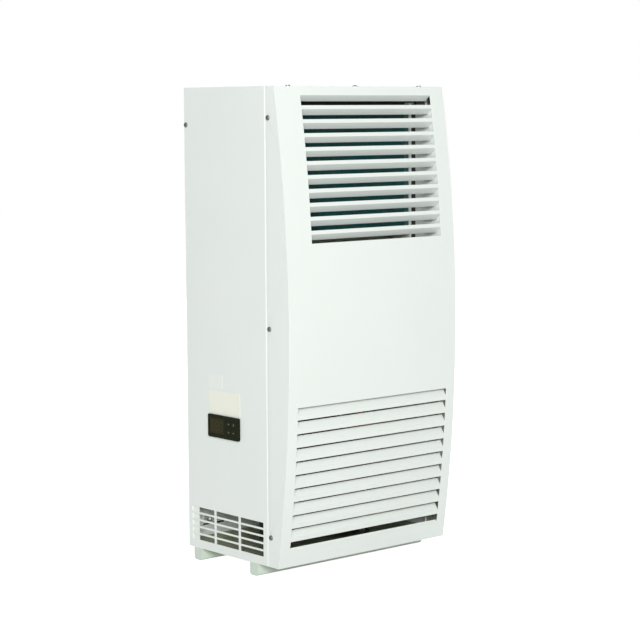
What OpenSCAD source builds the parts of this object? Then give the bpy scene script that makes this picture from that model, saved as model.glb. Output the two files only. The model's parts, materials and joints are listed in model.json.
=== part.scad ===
// Enclosure cooling unit: a floor or panel standing refrigerant cooler with a bowed louvred cover.
// Frame: X to the right, Y to the back (cabinet side), Z up; the origin is the middle of the
// footprint on the floor. Inside the modules the housing frame is used: Y is zero at the seam
// between housing and cover, and Z is zero at the underside of the housing.

/* [Housing] */
// Width of the housing
body_w = 350; // [340:1:400]
// Height of the housing above its skid rails
body_h = 730; // [700:1:780]
// Depth of the housing from the seam to the back panel
body_d = 200; // [190:1:240]
// Thickness of the steel sheet
sheet_t = 1.2; // [1:0.1:1.6]
// Outside radius of the fold at the front edge of the side panels
fold_r = 3; // [2.2:0.1:4]
// Width of the inward return behind the front fold
return_w = 14; // [11:1:18]
// Width of the small stiffening flanges
flange_w = 12; // [8:1:14]
// Width of the side flanges of the back panel
rear_flange_w = 24; // [14:1:28]
// Depth of the frame that the cover is screwed to
frame_d = 14; // [11:1:18]
// Sheet thickness of that frame
frame_t = 1.5; // [1.2:0.1:2]

/* [Front cover] */
// Depth of the cover at its top edge
cover_top_d = 20; // [16:1:26]
// Depth of the cover at its bottom edge
cover_bottom_d = 24; // [18:1:30]
// Bow of the cover in front of the line between those edges
cover_bow = 30.2; // [22:0.2:36]
// Shadow gap between the cover and the housing
seam_gap = 0.5; // [0.3:0.1:1]

/* [Upper louvre] */
// Number of air slots in the upper louvre
upper_slots = 11; // [8:1:12]
// Spacing of the upper slots
upper_pitch = 20.82; // [18:0.02:22]
// Height of an upper slot
upper_slot_h = 15; // [12:0.1:16]
// Height of the last of the upper slots
upper_last_slot_h = 13.5; // [12:0.1:16]
// Distance from the top of the housing to the first slot
upper_drop = 13.7; // [12:0.1:20]
// Margin between the left side and the upper slots
upper_left_margin = 50; // [44:1:70]
// Margin between the right side and the upper slots
upper_right_margin = 29; // [28:1:60]
// Length of the tab bent inward from each upper slot
upper_tab_l = 12.9; // [10:0.1:15]
// Angle of an upper tab from the vertical
upper_tab_angle = 45; // [35:1:70]

/* [Lower louvre] */
// Number of air slots in the lower louvre
lower_slots = 11; // [8:1:12]
// Spacing of the lower slots
lower_pitch = 21.05; // [18:0.05:22]
// Height of a lower slot
lower_slot_h = 13.9; // [12:0.1:15]
// Height of the topmost of the lower slots
lower_top_slot_h = 11.7; // [11:0.1:15]
// Height of the lowest slot above the underside of the housing
lower_start = 26.2; // [22:0.1:32]
// Margin between the left side and the lower slots
lower_left_margin = 19; // [18:1:40]
// Margin between the right side and the lower slots
lower_right_margin = 18; // [18:1:40]
// Length of the tab bent inward from each lower slot
lower_tab_l = 12.1; // [10:0.1:13]
// Angle of a lower tab from the vertical
lower_tab_angle = 33; // [28:1:60]
// Length of the short tab at the lowest slot
lowest_tab_l = 4.3; // [3:0.1:12]

/* [Side vent] */
// Number of slots in each column of the side vent
vent_rows = 5; // [3:1:6]
// Number of columns in the side vent
vent_columns = 3; // [2:1:4]
// Height of a vent slot
vent_slot_h = 8.2; // [6:0.1:9]
// Spacing of the vent slots
vent_pitch = 11.2; // [10:0.1:12]
// Height of the lowest vent slot
vent_start = 13.4; // [13:0.1:20]
// Width of the bars between the columns
vent_bar = 4.5; // [3:0.1:8]
// Margin between the seam and the vent
vent_front_margin = 12; // [10:1:25]
// Margin between the vent and the back edge
vent_rear_margin = 9.5; // [8:0.5:20]

/* [Skid rails] */
// Height of the skid rails
rail_h = 20; // [15:1:26]
// Width of a skid rail
rail_w = 19; // [15:1:24]
// Radius of the lower edges of a skid rail
rail_r = 4.5; // [2:0.5:6]
// Wall of a skid rail
rail_t = 1.5; // [1.2:0.1:2]
// Distance from the seam to the front rail
rail_front_inset = 26.5; // [20:0.5:34]
// Distance from the back edge to the rear rail
rail_rear_inset = 13; // [8:0.5:20]

/* [Refrigerant coils] */
// Outside diameter of the coil tubes
tube_d = 7; // [6:0.1:7.9]
// Height spacing of the coil tubes
tube_pitch = 20; // [18:0.5:21]
// Depth spacing of the coil tubes
tube_row_gap = 22; // [20:0.5:23]
// Spacing of the fin grooves
fin_pitch = 4; // [3:0.25:6]
// Width of a fin groove
fin_groove_w = 2; // [1:0.1:2.5]
// Depth of a fin groove
fin_groove_d = 5; // [2:0.5:6]
// Distance from the side of the housing to the condenser fins
condenser_side_gap = 51; // [48:1:70]
// Distance from the top of the housing to the condenser fins
condenser_top_gap = 33; // [30:1:45]
// Distance from the seam to the condenser fins
condenser_front_gap = 14; // [13:0.5:20]
// Distance from the side of the housing to the evaporator fins
evaporator_side_gap = 45; // [44:1:70]
// Space kept free above the evaporator
evaporator_headroom = 45; // [30:1:70]
// Space between the evaporator fins and the back panel
evaporator_rear_gap = 17.8; // [12:0.2:24]

/* [Fans] */
// Width of the condenser fan frame
big_fan_w = 172; // [150:1:176]
// Height of the condenser fan frame
big_fan_h = 150; // [145:1:155]
// Bore of the condenser fan
big_fan_bore = 144; // [120:1:145]
// Hub diameter of the condenser fan
big_fan_hub = 64; // [50:1:80]
// Size of the square return fan frame
small_fan_w = 119; // [100:1:125]
// Bore of the return fan
small_fan_bore = 112; // [90:1:114]
// Hub diameter of the return fan
small_fan_hub = 56; // [46:1:66]
// Depth of both fans
fan_d = 38; // [34:1:40]
// Number of blades of each fan
fan_blades = 5; // [3:1:7]
// Pitch of the fan blades
blade_pitch_angle = 32; // [20:1:38]
// Shaft diameter of the fans
fan_shaft_d = 8; // [6:0.5:10]
// Running clearance of a shaft in its bearing, on the radius
shaft_clear = 0.05; // [0.02:0.01:0.09]
// Distance from the top of the housing to the return fan's axis
return_fan_drop = 120; // [100:1:150]

/* [Compressor] */
// Outside diameter of the compressor shell
comp_d = 100; // [90:1:104]
// Height of the compressor shell
comp_h = 190; // [170:1:200]
// Wall of the compressor shell
comp_wall = 3; // [2.5:0.1:4]
// Distance from the seam to the compressor's axis
comp_front = 112; // [105:1:125]
// Height of the rubber mounts
mount_h = 12; // [8:1:16]
// Outside diameter of the accumulator
accumulator_d = 44; // [36:1:48]
// Height of the accumulator body
accumulator_h = 115; // [90:1:125]
// Thread diameter of the compressor studs
stud_d = 6; // [5:1:8]

/* [Pipes] */
// Outside diameter of the discharge pipe
discharge_d = 8; // [6:0.5:9]
// Outside diameter of the liquid pipe
liquid_d = 6; // [5:0.5:7]
// Outside diameter of the suction pipe
suction_d = 9; // [8:0.5:10]
// Outside diameter of the capillary pipe
capillary_d = 4; // [2:0.5:5]
// Outside diameter of the drain pipe
drain_d = 16; // [12:0.5:18]
// Bore of the drain pipe
drain_bore = 11; // [8:0.5:12]
// Outside diameter of the drain nozzle under the base
nozzle_d = 14; // [13:0.5:16]

/* [Controller] */
// Width of the controller's front
ctrl_w = 77.5; // [70:0.5:82]
// Height of the controller's front
ctrl_h = 36; // [32:0.5:40]
// Thickness of the controller's front
ctrl_t = 3; // [2.4:0.1:4]
// Distance from the seam to the middle of the controller
ctrl_y = 105.2; // [95:0.1:110]
// Height of the middle of the controller
ctrl_z = 203.2; // [200:0.1:230]
// Depth of the controller body behind the panel
ctrl_body_l = 58; // [45:1:65]
// Travel of a key
key_travel = 0.5; // [0.3:0.1:0.6]

/* [Back panel] */
// Width of the gasket strip
gasket_w = 15; // [10:1:15]
// Thickness of the gasket strip
gasket_t = 5; // [3:0.5:8]
// Distance of the gasket from the edges of the back panel
gasket_inset = 6; // [3:0.5:8]
// Diameter of the fixing threads in the back panel
fixing_d = 6; // [5:1:8]
// Distance of the fixing threads from the sides
fixing_side = 33; // [31:1:40]
// Distance of the fixing threads from the top and the bottom
fixing_end = 40; // [34:1:60]
// Thickness of the insulating foam
foam_t = 8; // [5:0.5:9]

/* [Hidden] */
$fn = 48;
// Overrun of a cut past the face it opens
cut = 1;

// Housing faces and the middle of the footprint
half_w = body_w / 2;
inner_w = half_w - sheet_t;
back_y = body_d - sheet_t;
top_z = body_h - sheet_t;

// Arc of the cover face in the YZ plane, through the top and bottom edges
chord = norm([body_h, cover_bottom_d - cover_top_d]);
arc_r = (chord * chord / 4 + cover_bow * cover_bow) / (2 * cover_bow);
chord_lean = (cover_bottom_d - cover_top_d) / chord;
arc_y = (arc_r - cover_bow) * body_h / chord - (cover_top_d + cover_bottom_d) / 2;
arc_z = body_h / 2 - (arc_r - cover_bow) * chord_lean;
front_y = arc_y - arc_r;
mid_y = (front_y + body_d + gasket_t) / 2;

// Louvre places
upper_left = -half_w + upper_left_margin;
upper_right = half_w - upper_right_margin;
upper_louvre_h = (upper_slots - 1) * upper_pitch + upper_last_slot_h;
tab_inset = sheet_t / 3;
tab_root = 0.3;
tab_end_gap = 0.3;

// Vent column width
vent_w = (body_d - vent_front_margin - vent_rear_margin - (vent_columns - 1) * vent_bar) / vent_columns;

// Screws of the cover and of the housing
screw_head_d = 8;
screw_head_h = 2.4;
screw_shank_d = 4;
screw_shank_l = 9;
screw_slot_w = 1.1;
screw_slot_d = 1.2;
screw_slot_l = 5;
screw_setback = 6.5;
cover_screw_drop = 47;
cover_screw_rise = 46;
cover_screw_middle_lift = 1;
cover_screw_heights = [body_h - cover_screw_drop, body_h / 2 + cover_screw_middle_lift, cover_screw_rise];
top_screw_side = 39;
panel_screw_drop = 58;
panel_screw_setback = 4.5;
shank_clear = 0.25;
frame_clear = 0.2;
frame_lip_setback = 1;

// Condenser coil
condenser_half = half_w - condenser_side_gap;
condenser_rows = 2 * floor(upper_louvre_h / (2 * tube_pitch));
condenser_top = body_h - condenser_top_gap;
condenser_bottom = condenser_top - condenser_rows * tube_pitch;
coil_d = 2 * tube_row_gap;
condenser_back = condenser_front_gap + coil_d;
tube_clear = 0.05;
bend_stand = 1;
stub_past_plate = 19;
bracket_strip_gap = 10;
bracket_strip_w = 4;
bracket_strip_d = 6;
bracket_strip_proud = 2;
coil_flange_gap = 0.6;
baffle_clear = 0.1;
bracket_web_gap = 16.6;
bracket_web_front = 12;
bracket_head = 8;
coil_foot = 17;
step_z = condenser_bottom - coil_foot;
bracket_x = condenser_half + sheet_t + bracket_web_gap;
shroud_gap = 4;
fan_nut_t = 3;
shroud_y = condenser_back + shroud_gap;
condenser_plate_x = condenser_half + sheet_t;
rear_tube_y = condenser_front_gap + tube_row_gap * 3 / 2;
condenser_top_row_z = condenser_top - tube_pitch / 2;
condenser_low_row_z = condenser_bottom + tube_pitch / 2;

// Compressor chain, from the base pan up to the floor of the cold chamber
comp_r = comp_d / 2;
comp_plate_t = 2.5;
comp_z = sheet_t + mount_h + comp_plate_t;
terminal_h = 19;
comp_head_gap = 10.3;
ctrl_body_h = 28;
ctrl_head_gap = 6;
floor_z = max(comp_z + comp_h + terminal_h + comp_head_gap, ctrl_z + ctrl_body_h / 2 + ctrl_head_gap);
accumulator_side = 15;
comp_gap = 6;
accumulator_x = inner_w - accumulator_side - accumulator_d / 2;
comp_x = accumulator_x - accumulator_d / 2 - comp_gap - comp_r;
comp_ear_r = 12;
comp_ear_stand = 16;
comp_ear_reach = comp_r + comp_ear_stand;
comp_ear_angles = [-90, 30, 150];
comp_ear_spots = [for (a = comp_ear_angles)
    [comp_x + comp_ear_reach * cos(a), comp_front + comp_ear_reach * sin(a)]];

// Heights inside the compressor, from the bottom of its shell
pump_z = 34;
pump_h = 34;
bearing_h = 14;
stator_z0 = 100;
stator_h = 55;
crank_d = 16;
pump_bore = 44;
crank_offset = 3.9;
bearing_r = 20;
air_gap = 0.5;
rotor_d = 55;
comp_corner = 12;
accumulator_lower = 20;
outlet_lift = 34;

// Bulkhead between the ambient side and the cold chamber
chamber_front = 45;
free_depth = back_y - foam_t - fan_d - fan_nut_t - fan_d - 2 * sheet_t - shroud_y;
return_fan_share = 0.35;
wall_y = back_y - fan_d - return_fan_share * free_depth - foam_t - sheet_t;
bulkhead_half = inner_w - sheet_t;
foam_half = bulkhead_half - foam_t;

// Drain pan and evaporator, from the chamber floor up
pan_h = 12;
pan_z = floor_z + sheet_t + foam_t;
pan_front = 60;
pan_back_gap = 8.8;
fin_lift = 15.8;
evaporator_half = half_w - evaporator_side_gap;
evaporator_bottom = pan_z + fin_lift;
chamber_roof = step_z - sheet_t - foam_t;
evaporator_rows = 2 * floor((chamber_roof - evaporator_bottom - evaporator_headroom) / (2 * tube_pitch));
evaporator_top = evaporator_bottom + evaporator_rows * tube_pitch;
evaporator_back = back_y - evaporator_rear_gap;
evaporator_front = evaporator_back - coil_d;
evaporator_plate_x = evaporator_half + sheet_t;
pan_side = 18.8;
pan_half = evaporator_plate_x + pan_side;
port_side = 20;
port_half = evaporator_half - port_side;
port_end = 5;
port_bottom = evaporator_bottom + port_end;
port_top = evaporator_top - port_end;
evaporator_tube_y = evaporator_front + tube_row_gap * 3 / 2;
evaporator_top_row_z = evaporator_top - tube_pitch / 2;
evaporator_low_row_z = evaporator_bottom + tube_pitch / 2;
drain_x = -60;
drain_back = 48.8;
drain_drop = 14;

// Fans
fan_flange_t = 3;
fan_wall = 2.5;
fan_strut_t = 4;
fan_strut_w = 8;
fan_boss_wall = 4;
fan_boss_r = fan_shaft_d / 2 + fan_boss_wall;
fan_end_gap = 3;
cup_wall = 2.5;
cup_gap = 2;
tip_gap = 2;
blade_t = 2;
blade_chord = 34;
stator_gap = 1.5;
fan_screw_d = 4;
fan_screw_head = 7;
fan_screw_head_h = 2.6;
big_fan_screw_x = 74;
big_fan_screw_z = 30;
small_fan_screw = 52.4;
small_fan_corner_cut = 12;
big_fan_z = (condenser_bottom + condenser_top) / 2;
big_fan_y = shroud_y + sheet_t;
small_fan_z = body_h - return_fan_drop;
big_fan_screws = [for (x = [-1, 1], z = [-1, 1]) [x * big_fan_screw_x, big_fan_z + z * big_fan_screw_z]];
small_fan_screws = [for (x = [-1, 1], z = [-1, 1]) [x * small_fan_screw, small_fan_z + z * small_fan_screw]];
guard_wire = 2;
guard_rings = 4;

// Pipe routes
pipe_min_run = 0.01;
pipe_wall = 1;
discharge_y = 25;
discharge_bend = 10;
discharge_off = 30;
discharge_rise = 14.5;
liquid_bend = 8;
liquid_y = 29;
liquid_wall = 7.8;
drier_drop = 15.7;
drier_z = comp_z + comp_h - drier_drop;
drier_d = 19;
drier_l = 80;
drier_neck = 8;
drier_start = 50;
capillary_bend = 8;
capillary_coil_r = 22;
capillary_coil_d = 9;
capillary_gap = 25;
capillary_rise = 300;
feed_front_gap = 25;
feed_side = 24.8;
feed_y = evaporator_front - feed_front_gap;
feed_x = evaporator_plate_x + feed_side;
suction_side = 25.8;
suction_x = evaporator_plate_x + suction_side;
suction_drop = 23;
pipe_hole_clear = 0.6;
evaporator_stub = 16.8;
pipe_start_x = condenser_plate_x + stub_past_plate;
discharge_run = 11;
discharge_x = pipe_start_x + discharge_run;
liquid_x = inner_w - liquid_wall;
comp_top = comp_z + comp_h;
drier_x = half_w - drier_start;
capillary_start_x = drier_x - drier_l;
capillary_x = capillary_start_x - capillary_gap;
capillary_end_x = capillary_x - capillary_coil_r;

// Electrical box and controller
box_w = 72.6;
box_h = 90;
box_y = 20;
box_l = 120;
box_gap = 19;
capacitor_d = 36;
capacitor_l = 65;
capacitor_side = 10;
terminal_l = 60;
terminal_w = 22;
terminal_t = 18;
terminal_lift = 30;
terminal_ways = 6;
terminal_screw_d = 6;
terminal_screw_deep = 4;
ctrl_body_w = 70;
ctrl_hole_clear = 0.5;
ctrl_corner_r = 3;
window_w = 36;
window_h = 25;
window_rear = 4;
window_t = 1.5;
window_sink = 0.4;
window_clear = 0.2;
key_w = 8.5;
key_h = 9;
key_pitch_y = 12;
key_pitch_z = 13;
key_front = 13.2;
key_proud = 0.2;
key_gap = 0.35;
key_corner_r = 1.2;
key_seat_gap = 0.1;
label_t = 0.25;
label_gap = 2;
label_h = 35;
small_label_w = 34;
small_label_h = 20;
small_label_gap = 5;
clip_t = 4;
clip_h = 16;
clip_l = 24;
box_top = ctrl_z - ctrl_body_h / 2 - box_gap;

// Back panel details
rivet_flange_d = 12;
rivet_flange_t = 0.8;
rivet_body_d = 9;
rivet_body_l = 12;
rivet_clear = 0.5;
bush_bore = 16;
bush_wall = 3;
bush_flange = 4;
bush_flange_t = 2.5;
bush_side = 55;
bush_x = -half_w + bush_side;
bush_z = 120;
slit_side = 27;
slit_x = -half_w + slit_side;
slit_l = 44;
slit_z = 28.5;
slit_h = 3;
slit_cover = 2;
// Places of the fixing threads on the back panel, as X and Z
fixing_spots = [for (x = [-half_w + fixing_side, half_w - fixing_side], z = [fixing_end, body_h / 2,
    body_h - fixing_end])
    [x, z]];
rail_bolt_side = 25;
rail_bolt_d = 6;
rail_bolt_reach = 9;
rail_front_y = rail_front_inset;
rail_back_y = body_d - rail_rear_inset - rail_w;
rail_bolt_spots = [for (x = [-half_w + rail_bolt_side, half_w - rail_bolt_side], y = [rail_front_y,
    rail_back_y])
    [x, y + rail_w / 2]];
hex_share = 1.75;

// Y of the cover's outer face at a given height
function face_y(z) = arc_y - sqrt(arc_r * arc_r - (z - arc_z) * (z - arc_z));

// Unit direction from one point to another
function direction(a, b) = (b - a) / norm(b - a);

// Moves from the housing frame to the frame of the part
module on_stand() translate([0, -mid_y, rail_h]) children();

// Places a shape so that its own X, Y and Z run along three square unit directions
module aligned(at, x_dir, y_dir, z_dir)
    multmatrix([[x_dir[0], y_dir[0], z_dir[0], at[0]],
                [x_dir[1], y_dir[1], z_dir[1], at[1]],
                [x_dir[2], y_dir[2], z_dir[2], at[2]],
                [0, 0, 0, 1]]) children();

// Box between two corners
module block(low, high) translate(low) cube(high - low);

// Cylinder along Y
module bar_y(at, d, l) translate(at) rotate([-90, 0, 0]) cylinder(d = d, h = l);

// Cylinder along X
module bar_x(at, d, l) translate(at) rotate([0, 90, 0]) cylinder(d = d, h = l);

// Copies a shape and its mirror image about the middle plane
module both_sides() {
    children();
    mirror([1, 0, 0]) children();
}

// Pipe along a route of square turns
module pipe(route, d, bend_r) {
    last = len(route) - 1;
    for (i = [0 : last - 1]) {
        way = direction(route[i], route[i + 1]);
        side = [way[1], way[2], way[0]];
        start = i == 0 ? 0 : bend_r;
        end = i == last - 1 ? 0 : bend_r;
        run = norm(route[i + 1] - route[i]) - start - end;
        if (run > pipe_min_run) aligned(route[i] + way * start, side, cross(way, side),
            way) cylinder(d = d, h = run);
    }
    for (i = [1 : last - 1]) {
        way_in = direction(route[i - 1], route[i]);
        way_out = direction(route[i], route[i + 1]);
        aligned(route[i] + (way_out - way_in) * bend_r, -way_out, way_in, cross(way_in, way_out))
            rotate_extrude(angle = 90) translate([bend_r, 0]) circle(d = d);
    }
}

// Rounded rectangle with true arcs, centred
module rounded_rect(w, h, r) {
    square([w - 2 * r, h], center = true);
    square([w, h - 2 * r], center = true);
    for (x = [-1, 1], y = [-1, 1]) translate([x * (w / 2 - r), y * (h / 2 - r)]) circle(r = r);
}

// Pan head screw along Z with its head at the top and a crossed recess
module pan_screw(shank_l) {
    difference() {
        cylinder(d = screw_head_d, h = screw_head_h);
        for (turn = [0, 90]) rotate(turn)
            translate([-screw_slot_l / 2, -screw_slot_w / 2, screw_head_h - screw_slot_d])
                cube([screw_slot_l, screw_slot_w, screw_slot_d + cut]);
    }
    translate([0, 0, -shank_l]) cylinder(d = screw_shank_d, h = shank_l);
}

// Places of the cover screws on one side, as Y and Z
cover_screw_spots = [for (z = cover_screw_heights) [-screw_setback, z]];

// Holes for the cover screws through the side and top flanges
module cover_screw_holes(d) {
    for (spot = cover_screw_spots) bar_x([-half_w - cut, spot[0], spot[1]], d, body_w + 2 * cut);
    for (x = [-half_w + top_screw_side, 0, half_w - top_screw_side])
        translate([x, -screw_setback, top_z - frame_d]) cylinder(d = d, h = frame_d + sheet_t + cut);
}

// Solid filled by the cover, inset from its faces
module cover_volume(inset, back) {
    intersection() {
        translate([-half_w + inset, arc_y, arc_z]) rotate([0, 90, 0])
            cylinder(r = arc_r - inset, h = body_w - 2 * inset, $fn = 720);
        block([-half_w + inset, front_y - cut, inset], [half_w - inset, back, body_h - inset]);
    }
}

// Louvre tab bent inward, hinged on one edge of its slot and rising or falling from it
module tab(x0, x1, hinge_z, length, angle, rises)
    translate([x0 + tab_end_gap, face_y(hinge_z) + tab_inset, hinge_z]) mirror([0, 0, rises ? 0 : 1])
        rotate([-angle, 0, 0]) translate([0, 0, -tab_root])
            cube([x1 - x0 - 2 * tab_end_gap, sheet_t, length + tab_root]);

module front_cover() color([0.92, 0.95, 0.93]) on_stand() {
    lower_left = -half_w + lower_left_margin;
    lower_right = half_w - lower_right_margin;
    difference() {
        cover_volume(0, -seam_gap);
        cover_volume(sheet_t, cut);
        for (i = [0 : upper_slots - 1]) {
            slot_top = body_h - upper_drop - i * upper_pitch;
            slot_h = i == upper_slots - 1 ? upper_last_slot_h : upper_slot_h;
            block([upper_left, front_y - cut, slot_top - slot_h], [upper_right, -seam_gap - cut, slot_top]);
        }
        for (i = [0 : lower_slots - 1]) {
            slot_bottom = lower_start + i * lower_pitch;
            slot_h = i == lower_slots - 1 ? lower_top_slot_h : lower_slot_h;
            block([lower_left, front_y - cut, slot_bottom], [lower_right, -seam_gap - cut,
                slot_bottom + slot_h]);
        }
        cover_screw_holes(screw_shank_d + 2 * shank_clear);
    }
    for (i = [0 : upper_slots - 1])
        tab(upper_left, upper_right, body_h - upper_drop - i * upper_pitch, upper_tab_l, upper_tab_angle,
            false);
    for (i = [0 : lower_slots - 1])
        tab(lower_left, lower_right, lower_start + i * lower_pitch, i == 0 ? lowest_tab_l : lower_tab_l,
            lower_tab_angle, true);
}

// Frame behind the seam that the cover is screwed to
module cover_frame() color([0.75, 0.78, 0.77]) on_stand() {
    outer = sheet_t + frame_clear;
    lip = return_w - frame_lip_setback;
    difference() {
        block([-half_w + outer, -frame_d, outer], [half_w - outer, 0, body_h - outer]);
        block([-half_w + outer + frame_t, -frame_d - cut, outer + frame_t],
              [half_w - outer - frame_t, -frame_t, body_h - outer - frame_t]);
        block([-half_w + outer + lip, -frame_d, outer + lip], [half_w - outer - lip, cut,
            body_h - outer - lip]);
        cover_screw_holes(screw_shank_d);
    }
}

// Outline of a side panel seen from above: side, rounded front fold and inward return
module side_outline() {
    translate([-half_w, fold_r]) square([sheet_t, body_d - fold_r]);
    translate([-half_w + fold_r, 0]) square([return_w, sheet_t]);
    intersection() {
        translate([-half_w + fold_r, fold_r]) difference() {
            circle(r = fold_r);
            circle(r = fold_r - sheet_t);
        }
        translate([-half_w, 0]) square(fold_r);
    }
}

// Slots of the side vent
module vent_slots() {
    for (column = [0 : vent_columns - 1], row = [0 : vent_rows - 1])
        translate([-half_w - cut, vent_front_margin + column * (vent_w + vent_bar),
            vent_start + row * vent_pitch])
            cube([sheet_t + 2 * cut, vent_w, vent_slot_h]);
}

// Side panel as it lies on the left, before the vent and the controller's hole are punched
module side_panel() {
    difference() {
        linear_extrude(body_h) side_outline();
        block([-half_w + fold_r, -cut, -cut], [-half_w + fold_r + return_w + cut, sheet_t + cut, sheet_t]);
        block([-half_w + fold_r, -cut, top_z], [-half_w + fold_r + return_w + cut, sheet_t + cut,
            body_h + cut]);
        bar_x([-half_w - cut, body_d - panel_screw_setback, body_h - panel_screw_drop],
              screw_shank_d, sheet_t + 2 * cut);
    }
}

module left_side_panel() color([0.89, 0.93, 0.90]) on_stand() difference() {
    side_panel();
    hole_w = ctrl_body_w + 2 * ctrl_hole_clear;
    hole_h = ctrl_body_h + 2 * ctrl_hole_clear;
    vent_slots();
    translate([-half_w - cut, ctrl_y - hole_w / 2, ctrl_z - hole_h / 2]) cube([sheet_t + 2 * cut, hole_w,
        hole_h]);
}

module right_side_panel() color([0.89, 0.93, 0.90]) on_stand() mirror([1, 0, 0]) side_panel();

// Top or bottom sheet: a plate with a return at the front and stiffening flanges at the sides
module end_sheet() {
    return_half = half_w - fold_r - return_w;
    block([-inner_w, fold_r, 0], [inner_w, back_y, sheet_t]);
    block([-half_w + fold_r, 0, 0], [half_w - fold_r, fold_r, sheet_t]);
    block([-return_half, 0, sheet_t], [return_half, sheet_t, return_w]);
    both_sides() block([-inner_w, fold_r, sheet_t], [-inner_w + sheet_t, back_y - rear_flange_w, flange_w]);
}

module top_panel() color([0.90, 0.94, 0.91]) on_stand() translate([0, 0, body_h]) mirror([0, 0, 1]) end_sheet();

module base_pan() color([0.62, 0.66, 0.60]) on_stand() {
    difference() {
        end_sheet();
        translate([drain_x, back_y - drain_back, -cut]) cylinder(d = drain_d, h = sheet_t + 2 * cut);
        for (spot = rail_bolt_spots) translate([spot[0], spot[1], -cut]) cylinder(d = rail_bolt_d,
            h = sheet_t + 2 * cut);
        for (spot = comp_ear_spots) translate([spot[0], spot[1], -cut]) cylinder(d = stud_d,
            h = sheet_t + 2 * cut);
    }
    block([-inner_w + sheet_t, back_y - sheet_t, sheet_t], [inner_w - sheet_t, back_y, flange_w]);
}

// Hollow skid rail with rounded lower edges and closed ends, lying along X
module skid_rail(y) difference() {
    translate([-half_w, y, -rail_h]) aligned([0, 0, 0], [0, 1, 0], [0, 0, 1], [1, 0,
        0]) linear_extrude(body_w) {
        translate([0, rail_r]) square([rail_w, rail_h - rail_r]);
        translate([rail_r, 0]) square([rail_w - 2 * rail_r, rail_h]);
        for (x = [rail_r, rail_w - rail_r]) translate([x, rail_r]) circle(r = rail_r);
    }
    block([-half_w + rail_t, y + rail_t, -rail_h + 2 * rail_t], [half_w - rail_t, y + rail_w - rail_t,
        -rail_t]);
    for (spot = rail_bolt_spots) translate([spot[0], spot[1], -rail_t - cut])
        cylinder(d = rail_bolt_d, h = rail_t + 2 * cut);
}

module skid_rails() color([0.90, 0.93, 0.90]) on_stand() {
    skid_rail(rail_front_y);
    skid_rail(rail_back_y);
}

// Hexagon headed bolt or nut standing on a face
module hex_head(d) cylinder(d = d * hex_share, h = d / 2, $fn = 6);

module base_fasteners() color([0.70, 0.70, 0.66]) on_stand() {
    for (spot = rail_bolt_spots) translate([spot[0], spot[1], sheet_t]) {
        hex_head(rail_bolt_d);
        translate([0, 0, -rail_bolt_reach]) cylinder(d = rail_bolt_d, h = rail_bolt_reach);
    }
    for (spot = comp_ear_spots) translate([spot[0], spot[1], 0]) {
        cylinder(d = stud_d, h = comp_z + stud_d);
        translate([0, 0, comp_z]) hex_head(stud_d);
    }
}

module rear_panel() color([0.88, 0.92, 0.89]) on_stand() {
    difference() {
        block([-inner_w, back_y, 0], [inner_w, body_d, body_h]);
        block([-port_half, back_y - cut, port_bottom], [port_half, body_d + cut, port_top]);
        bar_y([0, back_y - cut, small_fan_z], small_fan_bore, sheet_t + 2 * cut);
        for (x = [-small_fan_screw, small_fan_screw], z = [-small_fan_screw, small_fan_screw])
            bar_y([x, back_y - cut, small_fan_z + z], fan_screw_d, sheet_t + 2 * cut);
        for (spot = fixing_spots) bar_y([spot[0], back_y - cut, spot[1]], rivet_body_d, sheet_t + 2 * cut);
        bar_y([bush_x, back_y - cut, bush_z], bush_bore + 2 * bush_wall, sheet_t + 2 * cut);
        block([slit_x, back_y - cut, slit_z], [slit_x + slit_l, body_d + cut, slit_z + slit_h]);
    }
    both_sides() difference() {
        block([-inner_w, back_y - rear_flange_w, sheet_t], [-inner_w + sheet_t, back_y, top_z]);
        bar_x([-half_w, body_d - panel_screw_setback, body_h - panel_screw_drop], screw_shank_d,
            2 * sheet_t + cut);
    }
}

module housing_screws() color([0.35, 0.36, 0.35]) on_stand() {
    both_sides() {
        for (spot = cover_screw_spots) translate([-half_w, spot[0], spot[1]]) rotate([0, -90,
            0]) pan_screw(screw_shank_l);
        translate([-half_w, body_d - panel_screw_setback, body_h - panel_screw_drop]) rotate([0, -90, 0])
            pan_screw(screw_shank_l);
    }
    for (x = [-half_w + top_screw_side, 0, half_w - top_screw_side])
        translate([x, -screw_setback, body_h]) pan_screw(screw_shank_l);
}

// Walls that lead the intake air from the cover to the condenser, beside the upper louvre
module intake_baffles() color([0.90, 0.94, 0.91]) on_stand() both_sides() intersection() {
    cover_volume(sheet_t + baffle_clear, condenser_front_gap - bracket_strip_proud);
    block([upper_right + sheet_t, front_y, step_z], [upper_right + 2 * sheet_t, condenser_front_gap,
        condenser_top]);
}

// Fin pack along X with grooves on both faces and a bore for each tube
module fin_pack(half, y, z, rows) {
    grooves = floor((2 * half - fin_groove_w) / fin_pitch);
    groove_start = -grooves * fin_pitch / 2 - fin_groove_w / 2;
    difference() {
        block([-half, y, z], [half, y + coil_d, z + rows * tube_pitch]);
        for (i = [0 : grooves], side_y = [y - cut, y + coil_d - fin_groove_d])
            translate([groove_start + i * fin_pitch, side_y, z - cut])
                cube([fin_groove_w, fin_groove_d + cut, rows * tube_pitch + 2 * cut]);
        coil_bores(half + cut, y, z, rows);
    }
}

// Bores for the tubes of a coil
module coil_bores(reach, y, z, rows)
    for (row = [0 : rows - 1], column = [0, 1])
        bar_x([-reach, y + tube_row_gap * (column + 1 / 2), z + tube_pitch * (row + 1 / 2)],
              tube_d + 2 * tube_clear, 2 * reach);

// Upright return bend at the right end, between two neighbouring heights
module bend_up(x, y, z) aligned([x, y, z], [0, 0, 1], [1, 0, 0], [0, 1, 0])
    rotate_extrude(angle = 180) translate([tube_pitch / 2, 0]) circle(d = tube_d);

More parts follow.
